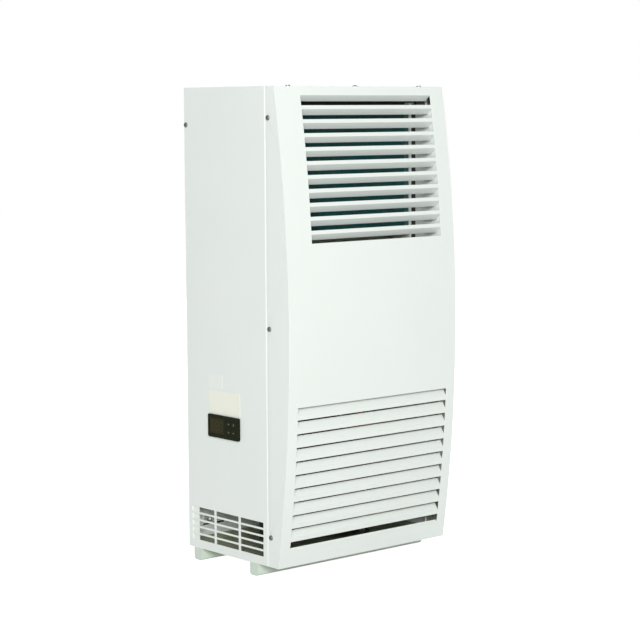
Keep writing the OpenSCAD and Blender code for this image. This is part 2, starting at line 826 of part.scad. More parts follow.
// Level return bend at the left end, between the two columns
module bend_back(x, y, z) aligned([x, y, z], [0, 1, 0], [-1, 0, 0], [0, 0, 1])
    rotate_extrude(angle = 180) translate([tube_row_gap / 2, 0]) circle(d = tube_d);

// One unbroken serpentine tube, entering at the top right and leaving at the bottom right of the back column
module coil_tubes(plate_x, y, z, rows, stub) {
    end_x = plate_x + bend_stand;
    middle_y = y + tube_row_gap;
    rear_column_y = middle_y + tube_row_gap / 2;
    for (row = [0 : rows - 1]) {
        row_z = z + tube_pitch * (row + 1 / 2);
        for (column_y = [middle_y - tube_row_gap / 2, rear_column_y])
            bar_x([-end_x, column_y, row_z], tube_d, 2 * end_x);
        bend_back(-end_x, middle_y, row_z);
    }
    for (row = [0 : rows - 2])
        bend_up(end_x, row % 2 == 0 ? middle_y - tube_row_gap / 2 : rear_column_y, z + tube_pitch * (row + 1));
    for (row = [0, rows - 1])
        bar_x([end_x, rear_column_y, z + tube_pitch * (row + 1 / 2)], tube_d, stub - bend_stand);
}

module condenser_fins() color([0.20, 0.34, 0.38]) on_stand()
    fin_pack(condenser_half, condenser_front_gap, condenser_bottom, condenser_rows);

module condenser_tubes() color([0.72, 0.45, 0.30]) on_stand()
    coil_tubes(condenser_plate_x, condenser_front_gap, condenser_bottom, condenser_rows, stub_past_plate);

module condenser_end_plates() color([0.60, 0.63, 0.58]) on_stand() both_sides() {
    difference() {
        block([condenser_half, condenser_front_gap, condenser_bottom - sheet_t],
              [condenser_plate_x, condenser_back, condenser_top + sheet_t]);
        coil_bores(condenser_plate_x + cut, condenser_front_gap, condenser_bottom, condenser_rows);
    }
    // Front flange that hides the return bends
    block([condenser_half, condenser_front_gap, condenser_bottom],
          [condenser_half + bracket_strip_gap - coil_flange_gap, condenser_front_gap + sheet_t, condenser_top]);
    for (z = [condenser_bottom - sheet_t, condenser_top])
        block([condenser_plate_x, condenser_front_gap + bracket_web_front, z],
              [bracket_x, condenser_back, z + sheet_t]);
}

// Brackets that stand the condenser on the step of the bulkhead
module condenser_brackets() color([0.90, 0.94, 0.91]) on_stand() difference() {
    both_sides() {
        strip_x = condenser_half + bracket_strip_gap;
        strip_y = condenser_front_gap - bracket_strip_proud;
        head_z = condenser_top + bracket_head;
        web_y = condenser_front_gap + bracket_web_front;
        block([strip_x, strip_y, step_z], [strip_x + bracket_strip_w, strip_y + bracket_strip_d, head_z]);
        for (z = [step_z, head_z - sheet_t])
            block([condenser_half, strip_y, z], [bracket_x + sheet_t, shroud_y, z + sheet_t]);
        block([bracket_x, web_y, step_z], [bracket_x + sheet_t, shroud_y, head_z]);
    }
    for (z = [condenser_low_row_z, condenser_top_row_z])
        bar_x([condenser_plate_x + bracket_web_gap / 2, rear_tube_y, z], tube_d + 2 * tube_clear,
            bracket_web_gap);
}

// Foam strips beside and over the coil, so that the intake air can't pass it by
module intake_seals() color([0.12, 0.12, 0.12]) on_stand() {
    strip_y = condenser_front_gap - bracket_strip_proud;
    strip_back = strip_y + bracket_strip_d;
    strip_end = upper_right + 2 * sheet_t;
    head_z = condenser_top + bracket_head;
    both_sides() block([condenser_half + bracket_strip_gap + bracket_strip_w, strip_y, step_z + sheet_t],
                       [strip_end, strip_back, head_z - sheet_t]);
    block([-strip_end, strip_y, head_z], [strip_end, strip_back, top_z]);
    block([-condenser_half, condenser_front_gap, condenser_top], [condenser_half, strip_back, head_z]);
}

module fan_shroud() color([0.66, 0.69, 0.66]) on_stand() difference() {
    block([-bracket_x - sheet_t, shroud_y, step_z], [bracket_x + sheet_t, shroud_y + sheet_t,
        condenser_top + bracket_head]);
    bar_y([0, shroud_y - cut, big_fan_z], big_fan_bore, sheet_t + 2 * cut);
    for (spot = big_fan_screws) bar_y([spot[0], shroud_y - cut, spot[1]], fan_screw_d, sheet_t + 2 * cut);
}

// Fan frame with its axis along its own Z, mounting face at zero and motor plate at the far end
module fan_frame(w, h, round_d, bore, hub, screw_spots) {
    boss_top = fan_end_gap + cup_wall + cup_gap;
    difference() {
        union() {
            for (z = [0, fan_d - fan_flange_t]) translate([0, 0,
                z]) linear_extrude(fan_flange_t) intersection() {
                circle(d = round_d);
                square([w, h], center = true);
            }
            cylinder(d = bore + 2 * fan_wall, h = fan_d);
        }
        translate([0, 0, -cut]) cylinder(d = bore, h = fan_d + 2 * cut);
        for (spot = screw_spots) translate([spot[0], spot[1], -cut]) cylinder(d = fan_screw_d,
            h = fan_d + 2 * cut);
    }
    difference() {
        union() {
            translate([0, 0, fan_d - fan_strut_t]) {
                cylinder(d = hub, h = fan_strut_t);
                intersection() {
                    cylinder(d = bore + fan_wall, h = fan_strut_t);
                    for (turn = [45, 135]) rotate(turn)
                        translate([-bore, -fan_strut_w / 2, 0]) cube([2 * bore, fan_strut_w, fan_strut_t]);
                }
            }
            translate([0, 0, boss_top]) cylinder(r = fan_boss_r, h = fan_d - boss_top - fan_strut_t / 2);
        }
        translate([0, 0, -cut]) cylinder(r = fan_shaft_d / 2 + shaft_clear, h = fan_d + 2 * cut);
    }
}

// Stator windings pushed on the boss of the frame
module fan_stator(hub) {
    stator_z = fan_end_gap + cup_wall + cup_gap + stator_gap;
    difference() {
        translate([0, 0, stator_z]) cylinder(r = hub / 2 - cup_wall - stator_gap,
            h = fan_d - fan_strut_t - stator_z);
        cylinder(r = fan_boss_r, h = fan_d);
    }
}

// Rotor: cup over the stator, shaft and blades
module fan_rotor(bore, hub) {
    cup_l = fan_d - fan_strut_t - cup_gap - fan_end_gap;
    blade_r = bore / 2 - tip_gap;
    translate([0, 0, fan_end_gap]) {
        difference() {
            cylinder(d = hub, h = cup_l);
            translate([0, 0, cup_wall]) cylinder(d = hub - 2 * cup_wall, h = cup_l);
        }
        cylinder(d = fan_shaft_d, h = fan_d - fan_end_gap - fan_strut_t / 2);
    }
    difference() {
        intersection() {
            translate([0, 0, fan_end_gap]) cylinder(r = blade_r, h = cup_l);
            for (i = [0 : fan_blades - 1]) rotate(i * 360 / fan_blades)
                translate([0, 0, fan_end_gap + cup_l / 2]) rotate([blade_pitch_angle, 0, 0])
                    translate([0, -blade_chord / 2, -blade_t / 2]) cube([bore, blade_chord, blade_t]);
        }
        translate([0, 0, fan_end_gap - cut]) cylinder(d = hub - cup_wall, h = cup_l + 2 * cut);
    }
}

// Places the condenser fan, whose mounting face is on the shroud
module at_big_fan() translate([0, big_fan_y, big_fan_z]) rotate([-90, 0, 0]) children();

// Places the return fan, whose mounting face is on the back panel
module at_small_fan() translate([0, back_y, small_fan_z]) rotate([90, 0, 0]) children();

module condenser_fan_frame() color([0.16, 0.17, 0.17]) on_stand() at_big_fan()
    fan_frame(big_fan_w, big_fan_h, big_fan_w, big_fan_bore, big_fan_hub,
        [for (x = [-1, 1], y = [-1, 1]) [x * big_fan_screw_x, y * big_fan_screw_z]]);

module condenser_fan_rotor() color([0.10, 0.10, 0.11]) on_stand()
    at_big_fan() fan_rotor(big_fan_bore, big_fan_hub);

module return_fan_frame() color([0.16, 0.17, 0.17]) on_stand() at_small_fan()
    fan_frame(small_fan_w, small_fan_w, small_fan_w * sqrt(2) - small_fan_corner_cut, small_fan_bore,
        small_fan_hub,
        [for (x = [-1, 1], y = [-1, 1]) [x * small_fan_screw, y * small_fan_screw]]);

module return_fan_rotor() color([0.10, 0.10, 0.11]) on_stand()
    at_small_fan() fan_rotor(small_fan_bore, small_fan_hub);

module fan_stators() color([0.55, 0.33, 0.20]) on_stand() {
    at_big_fan() fan_stator(big_fan_hub);
    at_small_fan() fan_stator(small_fan_hub);
}

// Long screw through a fan frame with a nut on the far side
module fan_screw(length) {
    translate([0, 0, -fan_screw_head_h]) cylinder(d = fan_screw_head, h = fan_screw_head_h);
    cylinder(d = fan_screw_d, h = length + fan_nut_t);
    translate([0, 0, length]) cylinder(d = fan_screw_head, h = fan_nut_t, $fn = 6);
}

module fan_screws() color([0.70, 0.70, 0.68]) on_stand() {
    for (spot = big_fan_screws) translate([spot[0], shroud_y, spot[1]]) rotate([-90, 0,
        0]) fan_screw(fan_d + sheet_t);
    for (spot = small_fan_screws) translate([spot[0], body_d + guard_wire / 2, spot[1]]) rotate([90, 0, 0])
        fan_screw(fan_d + sheet_t + guard_wire / 2);
}

// Finger guard of concentric rings on two crossed bars, lying on the back panel
module return_fan_guard() color([0.75, 0.75, 0.73]) on_stand()
    translate([0, body_d, small_fan_z]) rotate([-90, 0, 0]) {
    ring_step = (small_fan_bore / 2 - guard_wire) / guard_rings;
    bar_reach = small_fan_screw * sqrt(2);
    for (i = [1 : guard_rings]) difference() {
        cylinder(r = i * ring_step + guard_wire / 2, h = guard_wire);
        translate([0, 0, -cut]) cylinder(r = i * ring_step - guard_wire / 2, h = guard_wire + 2 * cut);
    }
    difference() {
        union() {
            for (turn = [45, 135]) rotate(turn)
                translate([-bar_reach, -guard_wire / 2, 0]) cube([2 * bar_reach, guard_wire, guard_wire / 2]);
            for (x = [-1, 1], y = [-1, 1]) translate([x * small_fan_screw, y * small_fan_screw, 0])
                cylinder(d = fan_screw_head, h = guard_wire / 2);
        }
        for (x = [-1, 1], y = [-1, 1]) translate([x * small_fan_screw, y * small_fan_screw, -cut])
            cylinder(d = fan_screw_d, h = guard_wire + 2 * cut);
    }
}

// Stepped line of the bulkhead in the YZ plane, offset to its cold side
function bulkhead_line(shift) = [[wall_y + shift, top_z], [wall_y + shift, step_z - shift],
    [chamber_front + shift, step_z - shift], [chamber_front + shift, floor_z + shift], [back_y,
        floor_z + shift]];

// Layer that follows the bulkhead from one offset to another
module bulkhead_layer(from, to, half)
    aligned([-half, 0, 0], [0, 1, 0], [0, 0, 1], [1, 0, 0]) linear_extrude(2 * half)
        polygon(concat(bulkhead_line(from), [for (i = [4 : -1 : 0]) bulkhead_line(to)[i]]));

// Holes where pipes cross the bulkhead and its foam
module bulkhead_holes() {
    bar_y([capillary_end_x, chamber_front - cut, capillary_rise], capillary_d + 2 * pipe_hole_clear,
        foam_t + sheet_t + 2 * cut);
    translate([suction_x, evaporator_tube_y, floor_z - cut])
        cylinder(d = suction_d + 2 * pipe_hole_clear, h = foam_t + sheet_t + 2 * cut);
    translate([drain_x, back_y - drain_back, floor_z - cut]) cylinder(d = drain_d,
        h = foam_t + sheet_t + 2 * cut);
}

module bulkhead() color([0.70, 0.73, 0.70]) on_stand() difference() {
    bulkhead_layer(0, sheet_t, bulkhead_half);
    bulkhead_holes();
}

module insulation_foam() color([0.22, 0.23, 0.23]) on_stand() {
    difference() {
        bulkhead_layer(sheet_t, sheet_t + foam_t, foam_half);
        bulkhead_holes();
    }
    side_back = back_y - rear_flange_w;
    side_line = bulkhead_line(sheet_t);
    both_sides() aligned([-bulkhead_half, 0, 0], [0, 1, 0], [0, 0, 1], [1, 0, 0]) linear_extrude(foam_t)
        polygon([side_line[0], side_line[1], side_line[2], side_line[3],
                 [side_back, side_line[4][1]], [side_back, top_z]]);
}

module evaporator_fins() color([0.62, 0.68, 0.72]) on_stand()
    fin_pack(evaporator_half, evaporator_front, evaporator_bottom, evaporator_rows);

module evaporator_tubes() color([0.72, 0.45, 0.30]) on_stand()
    coil_tubes(evaporator_plate_x, evaporator_front, evaporator_bottom, evaporator_rows, evaporator_stub);

module evaporator_end_plates() color([0.60, 0.63, 0.58]) on_stand() both_sides() {
    difference() {
        block([evaporator_half, evaporator_front, pan_z + sheet_t], [evaporator_plate_x, evaporator_back,
            evaporator_top]);
        coil_bores(evaporator_plate_x + cut, evaporator_front, evaporator_bottom, evaporator_rows);
    }
    block([evaporator_half, evaporator_front - sheet_t, pan_z + pan_h + sheet_t],
          [pan_half - sheet_t, evaporator_front, evaporator_top]);
}

// Plate that closes the space between the evaporator's top and the back panel
module evaporator_baffle() color([0.66, 0.69, 0.66]) on_stand() difference() {
    block([-foam_half, evaporator_front - sheet_t, evaporator_top],
          [foam_half, back_y, evaporator_top + sheet_t]);
    for (spot = fixing_spots)
        bar_y([spot[0], body_d - rivet_body_l - rivet_clear, spot[1]], rivet_body_d + 2 * rivet_clear, rivet_body_l);
}

module drain_pan() color([0.80, 0.82, 0.80]) on_stand() difference() {
    block([-pan_half, pan_front, pan_z], [pan_half, back_y - pan_back_gap, pan_z + pan_h]);
    block([-pan_half + sheet_t, pan_front + sheet_t, pan_z + sheet_t],
          [pan_half - sheet_t, back_y - pan_back_gap - sheet_t, pan_z + pan_h + cut]);
    translate([drain_x, back_y - drain_back, pan_z - cut]) cylinder(d = drain_bore, h = sheet_t + 2 * cut);
}

module drain_pipe() color([0.86, 0.88, 0.86]) on_stand()
    translate([drain_x, back_y - drain_back, -drain_drop]) difference() {
    union() {
        cylinder(d = nozzle_d, h = drain_drop);
        translate([0, 0, drain_drop]) cylinder(d = drain_d, h = pan_z);
    }
    translate([0, 0, -cut]) cylinder(d = drain_bore, h = pan_z + drain_drop + 2 * cut);
}

// Half outline of a vessel with rounded shoulders
module vessel_half(r, h, corner) {
    translate([0, corner]) square([r, h - 2 * corner]);
    square([r - corner, h]);
    for (z = [corner, h - corner]) translate([r - corner, z]) circle(r = corner);
}

// Places the compressor's own frame: its axis, and zero at the bottom of the shell
module at_compressor() translate([comp_x, comp_front, comp_z]) children();

module compressor_shell() color([0.08, 0.08, 0.08]) on_stand() {
    at_compressor() difference() {
        rotate_extrude() difference() {
            vessel_half(comp_r, comp_h, comp_corner);
            translate([0, comp_wall]) vessel_half(comp_r - comp_wall, comp_h - 2 * comp_wall,
                comp_corner - comp_wall);
        }
        translate([0, -discharge_off,
            comp_h - comp_wall - cut]) cylinder(d = discharge_d - 2 * pipe_wall, h = comp_wall + 2 * cut);
    }
    translate([comp_x, comp_front, comp_z - comp_plate_t]) linear_extrude(comp_plate_t) difference() {
        union() {
            circle(r = comp_r - comp_corner);
            for (a = comp_ear_angles) rotate(a) {
                translate([0, -comp_ear_r]) square([comp_ear_reach, 2 * comp_ear_r]);
                translate([comp_ear_reach, 0]) circle(r = comp_ear_r);
            }
        }
        for (a = comp_ear_angles) rotate(a) translate([comp_ear_reach, 0]) circle(d = stud_d);
    }
}

module compressor_stator() color([0.55, 0.33, 0.20]) on_stand()
    at_compressor() translate([0, 0, stator_z0]) difference() {
    cylinder(r = comp_r - comp_wall, h = stator_h);
    translate([0, 0, -cut]) cylinder(d = rotor_d + 2 * air_gap, h = stator_h + 2 * cut);
}

// Pump block with a bearing above and below its cylinder
module compressor_pump() color([0.45, 0.46, 0.47]) on_stand() at_compressor() difference() {
    union() {
        translate([0, 0, pump_z]) cylinder(r = comp_r - comp_wall, h = pump_h);
        translate([0, 0, pump_z - bearing_h]) cylinder(r = bearing_r, h = bearing_h);
        translate([0, 0, pump_z + pump_h]) cylinder(r = bearing_r, h = bearing_h);
    }
    translate([0, 0, pump_z - bearing_h - cut])
        cylinder(r = crank_d / 2 + shaft_clear, h = pump_h + 2 * bearing_h + 2 * cut);
    translate([0, 0, pump_z + comp_wall]) cylinder(d = pump_bore, h = pump_h - 2 * comp_wall);
}

// Crankshaft with its eccentric roller and the motor's rotor
module compressor_crank() color([0.66, 0.67, 0.68]) on_stand() at_compressor() {
    translate([0, 0, pump_z - bearing_h]) cylinder(d = crank_d, h = stator_z0 + stator_h - pump_z + bearing_h);
    translate([crank_offset, 0, pump_z + comp_wall + air_gap])
        cylinder(r = pump_bore / 2 - crank_offset - 2 * shaft_clear, h = pump_h - 2 * comp_wall - 2 * air_gap);
    translate([0, 0, stator_z0]) cylinder(d = rotor_d, h = stator_h);
}

module accumulator() color([0.08, 0.08, 0.08]) on_stand() {
    accumulator_z = comp_z + comp_h - accumulator_h - accumulator_lower;
    outlet_z = comp_z + outlet_lift;
    difference() {
        union() {
            translate([accumulator_x, comp_front, accumulator_z]) rotate_extrude()
                vessel_half(accumulator_d / 2, accumulator_h, accumulator_d / 4);
            block([comp_x + comp_r - comp_wall, comp_front - comp_ear_r, accumulator_z + accumulator_h / 2],
                  [accumulator_x, comp_front + comp_ear_r, accumulator_z + accumulator_h / 2 + comp_ear_r]);
            pipe([[accumulator_x, comp_front, accumulator_z + accumulator_d / 4], [accumulator_x,
                comp_front, outlet_z],
                  [comp_x + comp_r - comp_wall, comp_front, outlet_z]], suction_d, suction_d);
        }
        at_compressor() cylinder(r = comp_r, h = comp_h);
    }
}

module compressor_mounts() color([0.10, 0.10, 0.10]) on_stand() for (spot = comp_ear_spots)
    translate([spot[0], spot[1], sheet_t]) difference() {
        cylinder(r = comp_ear_r, h = mount_h);
        translate([0, 0, -cut]) cylinder(d = stud_d, h = mount_h + 2 * cut);
    }

module terminal_cover() color([0.13, 0.13, 0.14]) on_stand()
    at_compressor() translate([0, 0, comp_h]) difference() {
    cylinder(r = bearing_r, h = terminal_h);
    translate([0, 0, -cut]) cylinder(r = bearing_r - comp_wall, h = terminal_h - comp_wall + cut);
}

module discharge_pipe() color([0.72, 0.45, 0.30]) on_stand()
    pipe([[comp_x, comp_front - discharge_off, comp_top], [comp_x, comp_front - discharge_off,
        comp_top + discharge_rise],
          [comp_x, discharge_y, comp_top + discharge_rise], [discharge_x, discharge_y,
              comp_top + discharge_rise],
          [discharge_x, discharge_y, condenser_top_row_z], [discharge_x, rear_tube_y, condenser_top_row_z],
          [pipe_start_x, rear_tube_y, condenser_top_row_z]], discharge_d, discharge_bend);

module liquid_pipe() color([0.72, 0.45, 0.30]) on_stand()
    pipe([[pipe_start_x, rear_tube_y, condenser_low_row_z], [liquid_x, rear_tube_y, condenser_low_row_z],
          [liquid_x, liquid_y, condenser_low_row_z], [liquid_x, liquid_y, drier_z], [drier_x, liquid_y,
              drier_z]],
         liquid_d, liquid_bend);

// Drier with tapered necks, lying along X
module filter_drier() color([0.70, 0.42, 0.26]) on_stand()
    translate([drier_x, liquid_y, drier_z]) rotate([0, -90, 0]) {
    cylinder(d1 = liquid_d, d2 = drier_d, h = drier_neck);
    translate([0, 0, drier_neck]) cylinder(d = drier_d, h = drier_l - 2 * drier_neck);
    translate([0, 0, drier_l - drier_neck]) cylinder(d1 = drier_d, d2 = capillary_d, h = drier_neck);
}

module capillary_pipe() color([0.72, 0.45, 0.30]) on_stand() {
    bar_x([capillary_x, liquid_y, drier_z], capillary_d, capillary_gap);
    translate([capillary_x, liquid_y, drier_z + capillary_coil_r]) rotate([90, 0, 0])
        rotate_extrude() translate([capillary_coil_r, 0]) circle(d = capillary_coil_d);
    pipe([[capillary_end_x, liquid_y, drier_z + capillary_coil_r], [capillary_end_x, liquid_y, capillary_rise],
          [capillary_end_x, feed_y, capillary_rise], [feed_x, feed_y, capillary_rise],
          [feed_x, feed_y, evaporator_top_row_z], [feed_x, evaporator_tube_y, evaporator_top_row_z],
          [evaporator_plate_x + evaporator_stub, evaporator_tube_y, evaporator_top_row_z]],
         capillary_d, capillary_bend);
}

module suction_pipe() color([0.72, 0.45, 0.30]) on_stand() {
    low_z = floor_z - suction_drop;
    pipe([[evaporator_plate_x + evaporator_stub, evaporator_tube_y, evaporator_low_row_z],
          [suction_x, evaporator_tube_y, evaporator_low_row_z], [suction_x, evaporator_tube_y, low_z],
          [suction_x, comp_front, low_z], [accumulator_x, comp_front, low_z],
          [accumulator_x, comp_front, comp_top - accumulator_lower]], suction_d, suction_d);
}

module electrical_box() color([0.66, 0.69, 0.66]) on_stand() difference() {
    block([-inner_w, box_y, box_top - box_h], [-inner_w + box_w, box_y + box_l, box_top]);
    block([-inner_w + sheet_t, box_y + sheet_t, box_top - box_h + sheet_t],
          [-inner_w + box_w + cut, box_y + box_l - sheet_t, box_top - sheet_t]);
}

module electrical_box_lid() color([0.66, 0.69, 0.66]) on_stand()
    block([-inner_w + box_w, box_y, box_top - box_h], [-inner_w + box_w + sheet_t, box_y + box_l, box_top]);

module run_capacitor() color([0.85, 0.86, 0.84]) on_stand()
    translate([-inner_w + box_w / 2, box_y + capacitor_side + capacitor_d / 2, box_top - box_h + sheet_t])
        cylinder(d = capacitor_d, h = capacitor_l);

module terminal_block() color([0.12, 0.12, 0.13]) on_stand()
    translate([-inner_w + sheet_t, box_y + box_l - sheet_t - terminal_l,
        box_top - box_h + terminal_lift]) difference() {
        cube([terminal_t, terminal_l, terminal_w]);
        for (i = [0 : terminal_ways - 1])
            translate([terminal_t - terminal_screw_deep, (i + 1 / 2) * terminal_l / terminal_ways,
                terminal_w / 2])
                rotate([0, 90, 0]) cylinder(d = terminal_screw_d, h = terminal_screw_deep + cut);
    }

// Places a flat shape on the left side, looking at it from outside: its X runs to the back, its Y up
module on_left(y, z) aligned([-half_w, y, z], [0, -1, 0], [0, 0, 1], [-1, 0, 0]) children();

// Middle of the controller's window and of a key, measured along the side
window_y = ctrl_y + ctrl_w / 2 - window_rear - window_w / 2;
function key_y(rear) = ctrl_y - ctrl_w / 2 + key_front + (rear ? key_pitch_y : 0);
function key_z(top) = ctrl_z + (top ? key_pitch_z : -key_pitch_z) / 2;

module controller_bezel() color([0.05, 0.05, 0.05]) on_stand() difference() {
    on_left(ctrl_y, ctrl_z) linear_extrude(ctrl_t) rounded_rect(ctrl_w, ctrl_h, ctrl_corner_r);
    on_left(window_y, ctrl_z) translate([0, 0, -cut]) linear_extrude(ctrl_t + 2 * cut)
        square([window_w, window_h], center = true);
    for (rear = [false, true], top = [false, true])
        on_left(key_y(rear), key_z(top)) translate([0, 0, -cut]) linear_extrude(ctrl_t + 2 * cut)
            rounded_rect(key_w + 2 * key_gap, key_h + 2 * key_gap, key_corner_r + key_gap);
}

module controller_window() color([0.16, 0.12, 0.09]) on_stand()
    on_left(window_y, ctrl_z) translate([0, 0, ctrl_t - window_sink - window_t]) linear_extrude(window_t)
        square([window_w - 2 * window_clear, window_h - 2 * window_clear], center = true);

module controller_body() color([0.10, 0.10, 0.10]) on_stand() {
    block([-half_w, ctrl_y - ctrl_body_w / 2, ctrl_z - ctrl_body_h / 2],
          [-half_w + ctrl_body_l, ctrl_y + ctrl_body_w / 2, ctrl_z + ctrl_body_h / 2]);
    on_left(window_y, ctrl_z) linear_extrude(ctrl_t - window_sink - window_t)
        square([window_w - 2 * window_clear, window_h - 2 * window_clear], center = true);
}

module controller_clips() color([0.80, 0.45, 0.15]) on_stand() for (side = [-1, 1])
    translate([-inner_w, ctrl_y + side * (ctrl_body_w / 2 + clip_t / 2) - clip_t / 2, ctrl_z - clip_h / 2])
        cube([clip_l, clip_t, clip_h]);

// One key of the controller, standing just proud of the bezel
module key_cap(rear, top) color([0.09, 0.09, 0.09]) on_stand()
    on_left(key_y(rear), key_z(top)) translate([0, 0, key_travel + key_seat_gap])
        linear_extrude(ctrl_t + key_proud - key_travel - key_seat_gap) rounded_rect(key_w, key_h, key_corner_r);

module key_front_top() key_cap(false, true);
module key_front_bottom() key_cap(false, false);
module key_rear_top() key_cap(true, true);
module key_rear_bottom() key_cap(true, false);

// Two blank labels on the left side, above the controller
module side_labels() color([0.95, 0.94, 0.88]) on_stand() {
    label_z = ctrl_z + ctrl_h / 2 + label_gap;
    block([-half_w - label_t, ctrl_y - ctrl_w / 2, label_z], [-half_w, ctrl_y + ctrl_w / 2, label_z + label_h]);
    small_z = label_z + label_h + small_label_gap;
    block([-half_w - label_t, ctrl_y + ctrl_w / 2 - small_label_w, small_z],
          [-half_w, ctrl_y + ctrl_w / 2, small_z + small_label_h]);
}

// Foam frame on the back panel; its lower left corner stays filled, which closes the slit from behind
module rear_gasket() color([0.12, 0.12, 0.12]) on_stand() difference() {
    frame_left = -half_w + gasket_inset;
    block([frame_left, body_d, gasket_inset], [half_w - gasket_inset, body_d + gasket_t,
        body_h - gasket_inset]);
    difference() {
        block([frame_left + gasket_w, body_d - cut, gasket_inset + gasket_w],
              [half_w - gasket_inset - gasket_w, body_d + gasket_t + cut, body_h - gasket_inset - gasket_w]);
        block([frame_left, body_d - 2 * cut, gasket_inset],
              [slit_x + slit_l + slit_cover, body_d + gasket_t + 2 * cut, slit_z + slit_h + slit_cover]);
    }
}

module rivet_nuts() color([0.72, 0.70, 0.62]) on_stand() for (spot = fixing_spots) difference() {
    union() {
        bar_y([spot[0], body_d, spot[1]], rivet_flange_d, rivet_flange_t);
        bar_y([spot[0], body_d - rivet_body_l, spot[1]], rivet_body_d, rivet_body_l);
    }
    bar_y([spot[0], body_d - rivet_body_l - cut, spot[1]], fixing_d, rivet_body_l + rivet_flange_t + 2 * cut);
}

// Rubber bush that lines the cable hole in the back panel
module cable_bush() color([0.08, 0.08, 0.08]) on_stand() difference() {
    union() {
        for (y = [back_y - bush_flange_t, body_d])
            bar_y([bush_x, y, bush_z], bush_bore + 2 * bush_wall + 2 * bush_flange, bush_flange_t);
        bar_y([bush_x, back_y - bush_flange_t, bush_z], bush_bore + 2 * bush_wall, sheet_t + 2 * bush_flange_t);
    }
    bar_y([bush_x, back_y - bush_flange_t - cut, bush_z], bush_bore, sheet_t + 2 * bush_flange_t + 2 * cut);
}

base_pan();
skid_rails();
base_fasteners();
left_side_panel();
right_side_panel();
top_panel();
rear_panel();
cover_frame();
front_cover();
housing_screws();
intake_baffles();
condenser_fins();
condenser_tubes();
condenser_end_plates();
condenser_brackets();
intake_seals();
fan_shroud();
condenser_fan_frame();
condenser_fan_rotor();
fan_stators();
fan_screws();
bulkhead();
insulation_foam();
return_fan_frame();
return_fan_rotor();
return_fan_guard();
evaporator_fins();
evaporator_tubes();
evaporator_end_plates();
evaporator_baffle();
drain_pan();
drain_pipe();
compressor_shell();
compressor_stator();
compressor_pump();
compressor_crank();
accumulator();
compressor_mounts();
terminal_cover();
discharge_pipe();
liquid_pipe();
filter_drier();
capillary_pipe();
suction_pipe();
electrical_box();
electrical_box_lid();
run_capacitor();
terminal_block();
controller_bezel();
controller_window();
controller_body();
controller_clips();
key_front_top();
key_front_bottom();
key_rear_top();
key_rear_bottom();
side_labels();
rear_gasket();
rivet_nuts();
cable_bush();
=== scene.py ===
"""Looks of a compact enclosure cooling unit: finishes, fin stacks, impellers, screws and the studio."""
import json
import logging
import math
from dataclasses import dataclass, field
from enum import Enum
from typing import Any, Dict, List, Optional, Sequence, Tuple, Union

import bmesh
import bpy
from mathutils import Matrix, Vector


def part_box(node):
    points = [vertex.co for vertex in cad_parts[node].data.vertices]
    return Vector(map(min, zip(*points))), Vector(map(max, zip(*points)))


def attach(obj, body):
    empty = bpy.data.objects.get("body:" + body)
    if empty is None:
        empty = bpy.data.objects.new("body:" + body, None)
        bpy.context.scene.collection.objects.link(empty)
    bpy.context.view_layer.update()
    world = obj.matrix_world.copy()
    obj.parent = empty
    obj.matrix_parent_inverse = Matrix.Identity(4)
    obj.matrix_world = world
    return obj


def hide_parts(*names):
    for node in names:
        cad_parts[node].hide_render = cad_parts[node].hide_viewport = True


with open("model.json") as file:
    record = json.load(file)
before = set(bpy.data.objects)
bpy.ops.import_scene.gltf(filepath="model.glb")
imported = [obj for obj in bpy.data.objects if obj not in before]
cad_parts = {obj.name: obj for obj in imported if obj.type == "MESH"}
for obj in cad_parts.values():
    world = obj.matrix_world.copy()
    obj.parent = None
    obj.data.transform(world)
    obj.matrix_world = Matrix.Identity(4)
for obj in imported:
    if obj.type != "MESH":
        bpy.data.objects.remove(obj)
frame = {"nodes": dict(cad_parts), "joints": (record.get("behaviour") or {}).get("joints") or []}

LOG = logging.getLogger("cooling_unit")
MM = 0.001
Colour = Tuple[float, float, float]
Point = Tuple[float, float, float]
Outline = Sequence[Tuple[float, float]]
Shape = bmesh.types.BMesh
Ring = List[bmesh.types.BMVert]
Number = Union["Wire", float]
EVEN: Point = (1.0, 1.0, 1.0)
WHITE = (1.0, 1.0, 1.0, 1.0)

# Sockets of the Mix node for colours; its other kinds share their names
MIX_FACTOR, MIX_FIRST, MIX_SECOND, MIX_RESULT = 0, 6, 7, 2

# How packed edges are rounded, and how near its axis a turned point counts as on it
WELD_WITHIN = 2e-6
EDGE_STEPS = 2
ROUNDED_ABOVE = math.radians(50)
SPLIT_ABOVE = math.radians(20)
FLAT_FACE_WEIGHT = 100
ON_AXIS = 1e-9


class Axis(Enum):
    """The row axis that a turned piece's own axis lies along."""

    ALONG_X = (0.0, 1.0, 0.0, math.pi / 2)
    AGAINST_X = (0.0, 1.0, 0.0, -math.pi / 2)
    ALONG_Y = (1.0, 0.0, 0.0, -math.pi / 2)
    AGAINST_Y = (1.0, 0.0, 0.0, math.pi / 2)
    ALONG_Z = (0.0, 0.0, 1.0, 0.0)

    def turn(self) -> Matrix:
        """Rotation that takes +Z to this axis."""
        x, y, z, angle = self.value
        return Matrix.Rotation(angle, 4, Vector((x, y, z)))


# Shader tools


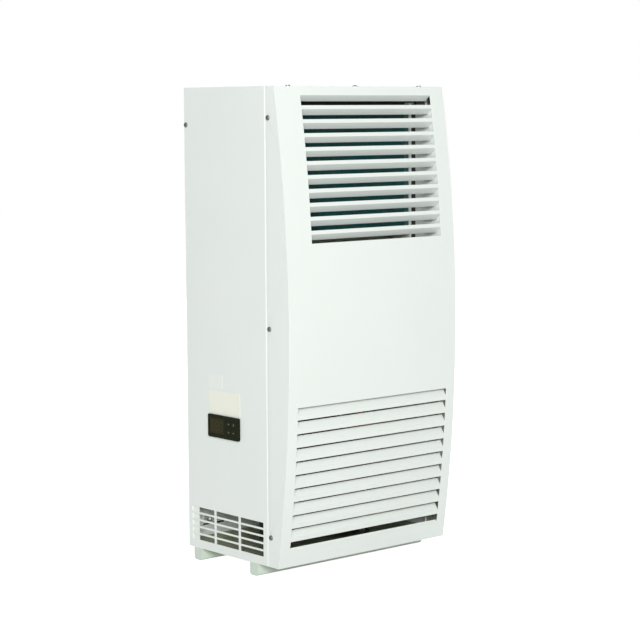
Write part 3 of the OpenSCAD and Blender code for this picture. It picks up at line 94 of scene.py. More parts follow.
class Wire:
    """An output socket that takes part in Python expressions, where each operator adds its node."""

    def __init__(self, nodes: "Nodes", socket: bpy.types.NodeSocket) -> None:
        """Keeps the socket and the tree that it belongs to."""
        self.nodes = nodes
        self.socket = socket

    def _math(self, operation: str, *values: Number) -> "Wire":
        """Adds one Math node."""
        return self.nodes.add("ShaderNodeMath", {"operation": operation}, dict(enumerate(values)))

    def __add__(self, other: Number) -> "Wire":
        """Sum."""
        return self._math("ADD", self, other)

    def __radd__(self, other: float) -> "Wire":
        """Sum with the number first."""
        return self._math("ADD", other, self)

    def __sub__(self, other: Number) -> "Wire":
        """Difference."""
        return self._math("SUBTRACT", self, other)

    def __rsub__(self, other: float) -> "Wire":
        """Difference with the number first."""
        return self._math("SUBTRACT", other, self)

    def __mul__(self, other: Number) -> "Wire":
        """Product."""
        return self._math("MULTIPLY", self, other)

    def __rmul__(self, other: float) -> "Wire":
        """Product with the number first."""
        return self._math("MULTIPLY", other, self)

    def limited(self) -> "Wire":
        """The value held between 0 and 1."""
        return self._math("MINIMUM", self._math("MAXIMUM", self, 0.0), 1.0)


class Nodes:
    """The node tree of a material or the world, and the one method that adds nodes to it."""

    def __init__(self, tree: bpy.types.NodeTree) -> None:
        """Keeps the tree."""
        self.tree = tree

    def add(
        self,
        kind: str,
        settings: Optional[Dict[str, Any]] = None,
        values: Optional[Dict[Union[int, str], Any]] = None,
        output: Union[int, str] = 0,
    ) -> Wire:
        """Adds a node.

        Args:
            kind: The node's type.
            settings: Its properties, set first.
            values: A value or a Wire for each input, by number or name.
            output: The output to give back.

        Returns:
            That output as a Wire.
        """
        node = self.tree.nodes.new(kind)
        for name, value in (settings or {}).items():
            setattr(node, name, value)
        for key, value in (values or {}).items():
            if isinstance(value, Wire):
                self.tree.links.new(value.socket, node.inputs[key])
            else:
                node.inputs[key].default_value = value
        return Wire(self, node.outputs[output])

    def place(self, stretch: Point = EVEN) -> Wire:
        """The place on the piece in metres, each axis times a stretch."""
        place = self.add("ShaderNodeTexCoord", output="Object")
        if stretch == EVEN:
            return place
        return self.add("ShaderNodeVectorMath", {"operation": "MULTIPLY"}, {0: place, 1: stretch})

    def noise(self, grain: float, detail: float = 2.0, stretch: Point = EVEN) -> Wire:
        """Noise from 0 to 1 whose blobs are about grain metres across."""
        values = {"Vector": self.place(stretch), "Scale": 1.0 / grain, "Detail": detail}
        return self.add("ShaderNodeTexNoise", {}, values, "Fac")

    def mixed(self, factor: Wire, first: Colour, second: Colour) -> Wire:
        """Colour between two colours."""
        values = {MIX_FACTOR: factor, MIX_FIRST: (*first, 1.0), MIX_SECOND: (*second, 1.0)}
        return self.add("ShaderNodeMix", {"data_type": "RGBA"}, values, MIX_RESULT)

    def bump(self, height: Wire, depth: float) -> Wire:
        """Normal bent by a height, whose full swing is depth metres."""
        values = {"Height": height, "Distance": depth}
        return self.add("ShaderNodeBump", {}, values, "Normal")


# Finishes


@dataclass(frozen=True)
class Finish:
    """A surface finish with its plain values; a subclass adds what varies over the surface.

    Attributes:
        name: Name of the material.
        slot: Material slot of the record; not used.
        colour: Linear base colour.
        roughness: Mean roughness.
        metallic: 1 for bare metal.
        coat: Weight of a clear coat.
        coat_roughness: Roughness of that coat.
        specular: Specular level.
        gloss_swing: Full swing of the roughness over the surface.
    """

    name: str
    slot: str
    colour: Colour
    roughness: float = 0.5
    metallic: float = 0.0
    coat: float = 0.0
    coat_roughness: float = 0.05
    specular: float = 0.5
    gloss_swing: float = 0.0

    def varied(self, nodes: Nodes) -> Dict[str, Wire]:
        """Sockets of the shader that vary over the surface; each kind of finish gives its own."""
        raise NotImplementedError(self.name)

    def gloss(self, source: Wire) -> Wire:
        """Roughness that swings about its mean with a noise from 0 to 1."""
        return (source - 0.5) * self.gloss_swing + self.roughness

    def material(self) -> bpy.types.Material:
        """The material, made the first time it is asked for."""
        made = bpy.data.materials.get(self.name)
        if made is not None:
            return made
        made = bpy.data.materials.new(self.name)
        made.use_nodes = True
        shader = made.node_tree.nodes["Principled BSDF"]
        plain = {
            "Base Color": (*self.colour, 1.0),
            "Roughness": self.roughness,
            "Metallic": self.metallic,
            "Coat Weight": self.coat,
            "Coat Roughness": self.coat_roughness,
            "Specular IOR Level": self.specular,
        }
        for socket, value in plain.items():
            shader.inputs[socket].default_value = value
        nodes = Nodes(made.node_tree)
        for socket, wire in self.varied(nodes).items():
            made.node_tree.links.new(wire.socket, shader.inputs[socket])
        made.diffuse_color = (*self.colour, 1.0)
        return made


@dataclass(frozen=True)
class PowderCoat(Finish):
    """Baked powder coat: fine orange peel, and a faint drift of shade over the sheet."""

    peel_grain: float = 0.0022
    peel_depth: float = 0.00002
    drift_grain: float = 0.16
    drift: float = 0.035
    drift_tint: Colour = (0.985, 1.0, 0.995)
    gloss_grain: float = 0.03
    gloss_swing: float = 0.08

    def varied(self, nodes: Nodes) -> Dict[str, Wire]:
        """Shade drift, roughness drift and the peel's bump."""
        drifted = tuple(c * (1.0 - self.drift) * tint for c, tint in zip(self.colour, self.drift_tint))
        peel = nodes.noise(self.peel_grain, detail=3.0)
        return {
            "Base Color": nodes.mixed(nodes.noise(self.drift_grain), self.colour, drifted),
            "Roughness": self.gloss(nodes.noise(self.gloss_grain)),
            "Normal": nodes.bump(peel, self.peel_depth),
        }


@dataclass(frozen=True)
class ZincSheet(Finish):
    """Galvanised or plated sheet: patches of crystals with their own shade and gloss."""

    spangle: float = 0.012
    darker: float = 0.72
    crystal_share: float = 0.55
    cloud_grain: float = 0.05
    gloss_swing: float = 0.14
    pit_grain: float = 0.0012
    pit_depth: float = 0.00003

    def varied(self, nodes: Nodes) -> Dict[str, Wire]:
        """Shade and gloss per crystal, with fine pitting."""
        cells = {"Vector": nodes.place(), "Scale": 1.0 / self.spangle}
        crystal = nodes.add("ShaderNodeTexVoronoi", {"feature": "F1"}, cells, "Color")
        shade = nodes.add("ShaderNodeSeparateColor", {}, {0: crystal})
        cloud = nodes.noise(self.cloud_grain)
        blend = shade * self.crystal_share + cloud * (1.0 - self.crystal_share)
        dark = tuple(c * self.darker for c in self.colour)
        pits = nodes.noise(self.pit_grain, detail=4.0)
        return {
            "Base Color": nodes.mixed(blend, dark, self.colour),
            "Roughness": self.gloss(shade),
            "Normal": nodes.bump(pits, self.pit_depth),
        }


@dataclass(frozen=True)
class DrawnMetal(Finish):
    """Drawn or rolled metal that has dulled in patches, such as copper tube."""

    tarnish: Colour = (0.20, 0.09, 0.04)
    tarnish_grain: float = 0.03
    amount: float = 0.5
    contrast: float = 1.6
    threshold: float = 0.3
    dulling: float = 0.25
    drawn_grain: float = 0.002
    drawn_swing: float = 0.08
    drawn_depth: float = 0.00002

    def varied(self, nodes: Nodes) -> Dict[str, Wire]:
        """Tarnish clouds that are also duller."""
        cloud = nodes.noise(self.tarnish_grain, detail=4.0) * self.contrast - self.threshold
        dull = cloud.limited() * self.amount
        fine = nodes.noise(self.drawn_grain, detail=3.0)
        return {
            "Base Color": nodes.mixed(dull, self.colour, self.tarnish),
            "Roughness": dull * self.dulling + fine * self.drawn_swing + self.roughness,
            "Normal": nodes.bump(fine, self.drawn_depth),
        }


@dataclass(frozen=True)
class FinStock(Finish):
    """Thin coated fin stock, a little uneven from fin to fin along the coil."""

    # Paler colour of the blend: random tone from fin to fin, and painted sheen where fins lean
    edge: Colour = (0.10, 0.20, 0.22)
    fin_grain: float = 0.00315
    fin_stretch: Point = (1.0, 0.02, 0.02)
    fin_share: float = 0.7
    lean_grain: float = 0.05
    lean_stretch: Point = (1.0, 0.3, 0.6)
    painted_sheen_share: float = 0.5
    threshold: float = 0.2
    gloss_swing: float = 0.2

    def varied(self, nodes: Nodes) -> Dict[str, Wire]:
        """Tone that differs from fin to fin, and painted sheen in slow patches where fins lean."""
        across = nodes.noise(self.fin_grain, 1.0, self.fin_stretch)
        lean = nodes.noise(self.lean_grain, 2.0, self.lean_stretch)
        # Colour blend: random tone per fin, plus painted sheen where fins lean
        blend = (across * self.fin_share + lean * self.painted_sheen_share - self.threshold).limited()
        return {
            "Base Color": nodes.mixed(blend, self.colour, self.edge),
            "Roughness": self.gloss(lean),
        }


@dataclass(frozen=True)
class Moulded(Finish):
    """Moulded plastic or rubber with a spark-eroded grain."""

    grain: float = 0.0006
    depth: float = 0.00004
    flow_grain: float = 0.02
    flow_share: float = 0.6
    paler: float = 1.25
    haze: float = 0.004
    gloss_swing: float = 0.12

    def varied(self, nodes: Nodes) -> Dict[str, Wire]:
        """Grain bump, gloss and a slight shade drift."""
        skin = nodes.noise(self.grain, detail=3.0)
        flow = nodes.noise(self.flow_grain)
        hazy = tuple(min(1.0, c * self.paler + self.haze) for c in self.colour)
        return {
            "Base Color": nodes.mixed(flow * self.flow_share, self.colour, hazy),
            "Roughness": self.gloss(flow),
            "Normal": nodes.bump(skin, self.depth),
        }


@dataclass(frozen=True)
class CellFoam(Finish):
    """Closed cell foam whose cut face shows its cells."""

    cell: float = 0.0014
    rim_gain: float = 1.4
    rim_painted_light_gain: float = 1.9
    rim_height: float = 0.00035
    rim_dulling: float = 0.05

    def varied(self, nodes: Nodes) -> Dict[str, Wire]:
        """Cells as small pits, with painted shade inside them and painted light on their rims."""
        cells = {"Vector": nodes.place(), "Scale": 1.0 / self.cell}
        distance = nodes.add("ShaderNodeTexVoronoi", {"feature": "F1"}, cells, "Distance")
        rim = (distance * self.rim_gain).limited()
        # Painted light on the cells' rims and painted shade in their pits, over the foam's own colour
        painted_rim_light = tuple(c * self.rim_painted_light_gain for c in self.colour)
        return {
            "Base Color": nodes.mixed(rim, self.colour, painted_rim_light),
            "Normal": nodes.bump(rim, self.rim_height),
            "Roughness": rim * self.rim_dulling + self.roughness,
        }


@dataclass(frozen=True)
class SmokedWindow(Finish):
    """Dark smoked window, with painted light: brown clouds where light would get through it to the display
    behind.
    """

    # Paler brown of the clouds: painted light, not a glow of the window or the display
    glow: Colour = (0.034, 0.032, 0.010)
    cloud_grain: float = 0.02
    contrast: float = 1.8
    threshold: float = 0.4
    gloss_grain: float = 0.004
    gloss_swing: float = 0.03

    def varied(self, nodes: Nodes) -> Dict[str, Wire]:
        """A slow brown cloud of painted light."""
        cloud = nodes.noise(self.cloud_grain, detail=1.0) * self.contrast - self.threshold
        return {
            "Base Color": nodes.mixed(cloud.limited(), self.colour, self.glow),
            "Roughness": self.gloss(nodes.noise(self.gloss_grain)),
        }


@dataclass(frozen=True)
class BlankLabel(Finish):
    """Unprinted label film with a slightly yellowed, uneven face."""

    aged: Colour = (0.81, 0.82, 0.70)
    cloud_grain: float = 0.018
    ageing: float = 0.6
    gloss_swing: float = 0.1
    fibre_grain: float = 0.0008
    fibre_depth: float = 0.00001

    def varied(self, nodes: Nodes) -> Dict[str, Wire]:
        """Ageing clouds and a faint fibre bump."""
        cloud = nodes.noise(self.cloud_grain, detail=3.0)
        fibre = nodes.noise(self.fibre_grain, detail=4.0)
        return {
            "Base Color": nodes.mixed(cloud * self.ageing, self.colour, self.aged),
            "Roughness": self.gloss(cloud),
            "Normal": nodes.bump(fibre, self.fibre_depth),
        }


WHITE_COAT = PowderCoat("white_powder_coat", "white_paint", (0.800, 0.845, 0.805), 0.36)
# The rails' own coat, painted darker and greener than the white coat: partly their colour, partly painted
# shade for the dimmer light low down
RAIL_COAT_SHADED = PowderCoat("rail_coat_painted_shade", "rail_paint", (0.62, 0.70, 0.62), 0.42)
GALVANISED = ZincSheet("galvanised_sheet", "galvanised", (0.43, 0.46, 0.37), 0.46, 0.75)
BASE_SHEET = ZincSheet("base_sheet", "galvanised", (0.54, 0.58, 0.42), 0.46, 0.60)
ZINC_PLATE = ZincSheet("zinc_plate", "zinc", (0.62, 0.62, 0.57), 0.30, 1.0, spangle=0.004, darker=0.82)
DARK_SCREW = DrawnMetal("dark_screw_steel", "screw_steel", (0.20, 0.21, 0.20), 0.24, 1.0,
                        tarnish=(0.04, 0.04, 0.04), tarnish_grain=0.003)
COATED_FINS = FinStock("coated_fin_stock", "blue_fins", (0.027, 0.150, 0.150), 0.38, 0.35,
                       edge=(0.055, 0.250, 0.235))
COIL_COAT = PowderCoat("coil_coat", "coated_sheet", (0.024, 0.105, 0.110), 0.42, 0.2)
BARE_FINS = FinStock("bare_fin_stock", "bare_fins", (0.62, 0.66, 0.69), 0.32, 1.0, edge=(0.42, 0.46, 0.49))
COPPER = DrawnMetal("copper_tube", "copper", (0.56, 0.26, 0.16), 0.28, 1.0, amount=0.7)
FAN_CASTING = Moulded("fan_casting", "fan_frame_metal", (0.020, 0.021, 0.021), 0.50, depth=0.00006)
FAN_BLADE = Moulded("fan_blade_plastic", "fan_blade", (0.013, 0.013, 0.014), 0.42)
WINDING = DrawnMetal("varnished_winding", "winding", (0.42, 0.17, 0.07), 0.38, 0.8,
                     tarnish=(0.10, 0.05, 0.03), tarnish_grain=0.004)
FOAM = CellFoam("cell_foam", "foam", (0.014, 0.014, 0.014), 0.90)
PAN_PLASTIC = Moulded("pan_plastic", "pan_plastic", (0.66, 0.69, 0.66), 0.45)
DRAIN_HOSE = Moulded("drain_hose", "pan_plastic", (0.020, 0.022, 0.020), 0.50)
ENAMEL = PowderCoat("black_enamel", "black_enamel", (0.010, 0.010, 0.010), 0.20, coat=0.4, drift=0.0)
MACHINED = DrawnMetal("machined_steel", "machined_steel", (0.42, 0.43, 0.44), 0.28, 1.0,
                      tarnish=(0.20, 0.19, 0.17), amount=0.3)
RUBBER = Moulded("black_rubber", "rubber", (0.016, 0.016, 0.016), 0.70, grain=0.0004)
BLACK_PLASTIC = Moulded("black_plastic", "black_plastic", (0.018, 0.018, 0.018), 0.48)
CAPACITOR_CAN = DrawnMetal("capacitor_can", "capacitor_can", (0.70, 0.71, 0.70), 0.25, 1.0,
                           tarnish=(0.45, 0.45, 0.44), amount=0.4)
BEZEL = Moulded("gloss_bezel", "bezel_plastic", (0.0117, 0.0142, 0.0046), 0.26, specular=0.03,
                depth=0.000008)
WINDOW = SmokedWindow("smoked_window", "display_window", (0.020, 0.019, 0.005), 0.14, specular=0.05)
SEGMENTS = Moulded("unlit_segments", "display_window", (0.038, 0.035, 0.014), 0.30, specular=0.05,
                   depth=0.000004)
KEY = Moulded("satin_key", "key_plastic", (0.0125, 0.0150, 0.0055), 0.40, specular=0.04)
KEY_MARK = Moulded("key_mark_ink", "key_plastic", (0.20, 0.21, 0.19), 0.50, depth=0.000005)
CLIP = Moulded("clip_plastic", "clip_plastic", (0.55, 0.12, 0.015), 0.42)
LABEL = BlankLabel("cream_label", "label_film", (0.87, 0.89, 0.78), 0.48)
SMALL_LABEL = BlankLabel("white_label", "label_film", (0.82, 0.86, 0.82), 0.48, aged=(0.80, 0.84, 0.79))


# Making pieces


def make_object(name: str, shape: Shape) -> bpy.types.Object:
    """An object of the scene, made of a shape that is freed here."""
    mesh = bpy.data.meshes.new(name)
    shape.to_mesh(mesh)
    shape.free()
    made = bpy.data.objects.new(name, mesh)
    bpy.context.scene.collection.objects.link(made)
    return made


@dataclass
class Workshop:
    """Makes meshes from plain outlines and attaches the finished objects to their body."""

    body: str = "housing"

    def piece(self, name: str, shape: Shape, finish: Finish, smooth_below: float = 40.0) -> bpy.types.Object:
        """Turns a shape into an object in its finish that rides on this workshop's body.

        Args:
            name: Name of the object.
            shape: Mesh in row coordinates; it is freed here.
            finish: Finish of the whole piece.
            smooth_below: Edges flatter than this many degrees are shaded smooth.

        Returns:
            The object.
        """
        bmesh.ops.recalc_face_normals(shape, faces=shape.faces)
        limit = math.radians(smooth_below)
        for face in shape.faces:
            face.smooth = True
        for edge in shape.edges:
            edge.smooth = len(edge.link_faces) == 2 and edge.calc_face_angle(0.0) < limit
        made = make_object(name, shape)
        made.data.materials.append(finish.material())
        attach(made, self.body)
        LOG.info("%s: %d faces, rides on %s", name, len(made.data.polygons), self.body)
        return made

    def dress(self, finish: Finish, *nodes: str, edge: float = 0.0) -> None:
        """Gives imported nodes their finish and, where wanted, rounded edges.

        Args:
            finish: The finish.
            nodes: Names of the nodes.
            edge: Radius of the rounded edges in metres, or 0 for none.
        """
        for node in nodes:
            part = frame["nodes"][node]
            part.data.materials.clear()
            part.data.materials.append(finish.material())
            for polygon in part.data.polygons:
                polygon.material_index = 0
            if edge > 0.0:
                self._round(part, edge)
            LOG.info("%s: %s", node, finish.name)

    @staticmethod
    def _round(part: bpy.types.Object, edge: float) -> None:
        """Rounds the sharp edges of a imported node, by a radius in metres, and keeps its flat faces flat."""
        weld = part.modifiers.new("weld", "WELD")
        weld.merge_threshold = WELD_WITHIN
        bevel = part.modifiers.new("rounded_edges", "BEVEL")
        bevel.width = edge
        bevel.segments = EDGE_STEPS
        bevel.limit_method = "ANGLE"
        bevel.angle_limit = ROUNDED_ABOVE
        crease = part.modifiers.new("crisp_folds", "EDGE_SPLIT")
        crease.use_edge_sharp = False
        crease.split_angle = SPLIT_ABOVE
        level = part.modifiers.new("flat_faces_stay_flat", "WEIGHTED_NORMAL")
        level.mode = "FACE_AREA_WITH_ANGLE"
        level.weight = FLAT_FACE_WEIGHT
        part.data.shade_smooth()


def full_turn(steps: int) -> List[float]:
    """Even angles round a full turn."""
    return [2 * math.pi * k / steps for k in range(steps)]


def add_face(shape: Shape, around: Ring) -> None:
    """Adds a face round corners that may repeat, where at least three of them differ."""
    face = list(dict.fromkeys(around))
    if len(face) > 2:
        shape.faces.new(face)


def add_band(shape: Shape, first: Ring, second: Ring) -> None:
    """Adds the faces between two rings that have the same number of corners."""
    for k in range(len(first)):
        n = (k + 1) % len(first)
        shape.faces.new((first[k], first[n], second[n], second[k]))


def add_lathe(shape: Shape, outline: Outline, place: Matrix, steps: int) -> None:
    """Adds a closed solid turned from an outline.

    Args:
        shape: Mesh that receives it.
        outline: Radius and height of each point; a radius of zero meets the axis.
        place: Where it goes; its axis is +Z before that.
        steps: Facets round the axis.
    """
    rings = []
    for radius, height in outline:
        points = [Vector((0, 0, height))]
        if radius >= ON_AXIS:
            points = [Vector((radius * math.cos(a), radius * math.sin(a), height)) for a in full_turn(steps)]
        rings.append([shape.verts.new(place @ point) for point in points])
    pairs = list(zip(rings, rings[1:]))
    if len(rings[0]) > 1 and len(rings[-1]) > 1:
        pairs.append((rings[-1], rings[0]))
    for low, high in pairs:
        for i in range(steps):
            j = (i + 1) % steps
            add_face(shape, [low[i % len(low)], low[j % len(low)], high[j % len(high)], high[i % len(high)]])


def add_prism(shape: Shape, outline: Outline, depth: float, place: Matrix) -> None:
    """Adds a straight prism of an outline, from height 0 to depth, then moved by place."""
    foot, top = ([shape.verts.new(place @ Vector((x, y, z))) for x, y in outline] for z in (0.0, depth))
    shape.faces.new(foot[::-1])
    shape.faces.new(top)
    add_band(shape, foot, top)


def add_tube(shape: Shape, route: Sequence[Vector], radius: float, closed: bool, sides: int = 12) -> None:
    """Adds a round wire along a level route in the XZ plane.

    Args:
        shape: Mesh that receives it.
        route: Points of its centre line.
        radius: Radius of the wire.
        closed: True for a ring.
        sides: Facets round the wire.
    """
    count = len(route)
    across = Vector((0, 1, 0))
    rings = []
    for i, point in enumerate(route):
        before = route[i - 1] if closed or i > 0 else point
        after = route[(i + 1) % count] if closed or i < count - 1 else point
        side = (after - before).normalized().cross(across)
        spokes = [math.cos(a) * side + math.sin(a) * across for a in full_turn(sides)]
        rings.append([shape.verts.new(point + radius * spoke) for spoke in spokes])
    for i in range(count if closed else count - 1):
        add_band(shape, rings[i], rings[(i + 1) % count])
    if not closed:
        shape.faces.new(rings[0])
        shape.faces.new(rings[-1][::-1])


def joint_place(name: str) -> Vector:
    """Place of a joint's axis in the row frame."""
    found = next(j for j in frame["joints"] if j["name"] == name)
    return Vector(found["pos_m"])


@dataclass
class Datum:
    """Faces of the housing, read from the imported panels; the seam with the cover is at its low Y."""

    low: Vector = field(default_factory=lambda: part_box("left_side_panel")[0])
    right: float = field(default_factory=lambda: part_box("right_side_panel")[1].x)
    high: Vector = field(default_factory=lambda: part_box("left_side_panel")[1])


# Sub-assemblies


@dataclass
class Housing(Workshop):
    """Panels, cover, base pan, rails and the sheets inside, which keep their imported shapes."""

    cover_edge: float = 0.35 * MM
    rail_edge: float = 0.8 * MM
    seal_edge: float = 0.5 * MM

    def build(self) -> None:
        """Dresses each sheet."""
        self.dress(WHITE_COAT, "left_side_panel", "right_side_panel", "top_panel", "rear_panel",
                   "intake_baffles", "condenser_brackets")
        self.dress(WHITE_COAT, "front_cover", edge=self.cover_edge)
        self.dress(RAIL_COAT_SHADED, "skid_rails", edge=self.rail_edge)
        self.dress(COIL_COAT, "condenser_end_plates")
        self.dress(FOAM, "intake_seals", edge=self.seal_edge)
        self.dress(BASE_SHEET, "base_pan")
        self.dress(GALVANISED, "cover_frame", "fan_shroud", "bulkhead", "evaporator_end_plates",
                   "evaporator_baffle", "electrical_box", "electrical_box_lid")
        self.dress(ZINC_PLATE, "base_fasteners")


@dataclass
class PanelScrews(Workshop):
    """Pan head screws of the cover and the panels, with a domed head and a crossed recess.

    Each twist is the turn of a row's screws in degrees, and what it grows by for each metre along the row.
    """

    head_r: float = 4.0 * MM
    head_h: float = 2.4 * MM
    rim_h: float = 0.9 * MM
    recess_l: float = 4.6 * MM
    recess_w: float = 1.15 * MM
    recess_d: float = 1.2 * MM
    shank_r: float = 2.0 * MM
    shank_l: float = 9.0 * MM
    dome_steps: int = 6
    facets: int = 32
    flange_setback: float = 6.5 * MM
    side_heights: Tuple[float, float, float] = (46 * MM, 366 * MM, 683 * MM)
    top_offset: float = 136.0 * MM
    rear_setback: float = 4.5 * MM
    rear_height: float = 672.0 * MM
    left_twist: Tuple[float, float] = (20.0, 1000.0)
    right_twist: Tuple[float, float] = (50.0, 700.0)
    top_twist: Tuple[float, float] = (35.0, 300.0)

    def build(self, datum: Datum) -> None:
        """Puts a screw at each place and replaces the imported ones."""
        head = self._head()
        shape = bmesh.new()
        for place in self._places(datum):
            first = len(shape.verts)
            shape.from_mesh(head)
            shape.verts.ensure_lookup_table()
            bmesh.ops.transform(shape, matrix=place, verts=shape.verts[first:])
        made = self.piece("panel_screws", shape, DARK_SCREW, smooth_below=30.0)
        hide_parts("housing_screws")

    def _places(self, datum: Datum) -> List[Matrix]:
        """Where each screw goes, and how it is turned, from a screw along +Z."""
        flange_y = datum.low.y - self.flange_setback
        sides = [(flange_y, height) for height in self.side_heights]
        sides.append((datum.high.y - self.rear_setback, self.rear_height))
        spots = []
        for y, height in sides:
            z = datum.low.z + height
            spots.append(((datum.low.x, y, z), Axis.AGAINST_X, self.left_twist, height))
            spots.append(((datum.right, y, z), Axis.ALONG_X, self.right_twist, height))
        for x in (-self.top_offset, 0.0, self.top_offset):
            spots.append(((x, flange_y, datum.high.z), Axis.ALONG_Z, self.top_twist, x))
        places = []
        for spot, axis, (twist, growth), along in spots:
            spin = Matrix.Rotation(math.radians(twist + growth * along), 4, "Z")
            places.append(Matrix.Translation(spot) @ axis.turn() @ spin)
        return places

    def _head(self) -> bpy.types.Mesh:
        """One screw with its recess cut, as a mesh along +Z from the sheet's face."""
        body = bmesh.new()
        crown = self.head_h - self.rim_h
        turns = [math.radians(90 * k / self.dome_steps) for k in range(1, self.dome_steps + 1)]
        dome = [(0.0, self.head_h)]
        dome += [(self.head_r * math.sin(a), self.rim_h + crown * math.cos(a)) for a in turns]
        dome += [(self.head_r, 0.0), (self.shank_r, 0.0)]
        dome += [(self.shank_r, -self.shank_l), (0.0, -self.shank_l)]
        add_lathe(body, dome, Matrix.Identity(4), self.facets)
        cross = bmesh.new()
        long, wide = self.recess_l / 2, self.recess_w / 2
        outline = [(long, -wide), (long, wide), (wide, wide)]
        for _ in range(3):
            outline += [(-y, x) for x, y in outline[-3:]]
        add_prism(cross, outline, self.head_h, Matrix.Translation((0, 0, self.head_h - self.recess_d)))
        for shape in (body, cross):
            bmesh.ops.recalc_face_normals(shape, faces=shape.faces)
        work, tool = make_object("screw_work", body), make_object("recess_tool", cross)
        carve = work.modifiers.new("recess", "BOOLEAN")
        carve.operation = "DIFFERENCE"
        carve.solver = "EXACT"
        carve.object = tool
        bpy.context.view_layer.update()
        graph = bpy.context.evaluated_depsgraph_get()
        head = bpy.data.meshes.new_from_object(work.evaluated_get(graph))
        for blank in (work, tool):
            bpy.data.objects.remove(blank)
        return head


@dataclass
class FinStack(Workshop):
    """Separate thin corrugated fins of one coil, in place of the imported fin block."""

    node: str = "condenser_fins"
    finish: Finish = COATED_FINS
    pitch: float = 2.1 * MM
    thickness: float = 0.22 * MM
    wave: float = 0.35 * MM
    waves: int = 5
    steps: int = 20

    def build(self) -> None:
        """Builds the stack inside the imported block's box."""
        low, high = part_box(self.node)
        count = int((high.x - low.x - self.thickness) / self.pitch)
        margin = ((high.x - low.x) - count * self.pitch) / 2
        shape = bmesh.new()
        for i in range(count + 1):
            x = low.x + margin + i * self.pitch
            self._fin(shape, x, low, high)
        made = self.piece(self.node + "_stack", shape, self.finish, smooth_below=60.0)
        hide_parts(self.node)

    def _fin(self, shape: Shape, x: float, low: Vector, high: Vector) -> None:
        """Adds the fin at x: a thin sheet that waves along the air's way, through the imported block."""
        forth = [(k / self.steps, 0.5) for k in range(self.steps + 1)]
        back = [(share, -0.5) for share, _ in forth[::-1]]
        outline = []
        for share, side in forth + back:
            swing = self.wave * math.sin(2 * math.pi * self.waves * share)
            outline.append((x + swing + side * self.thickness, low.y + share * (high.y - low.y)))
        floor = [shape.verts.new((px, py, low.z)) for px, py in outline]
        roof = [shape.verts.new((px, py, high.z)) for px, py in outline]
        add_band(shape, floor, roof)
        for k in range(self.steps):
            m = len(outline) - 1 - k
            shape.faces.new((floor[k], floor[m], floor[m - 1], floor[k + 1]))
            shape.faces.new((roof[k], roof[k + 1], roof[m - 1], roof[m]))


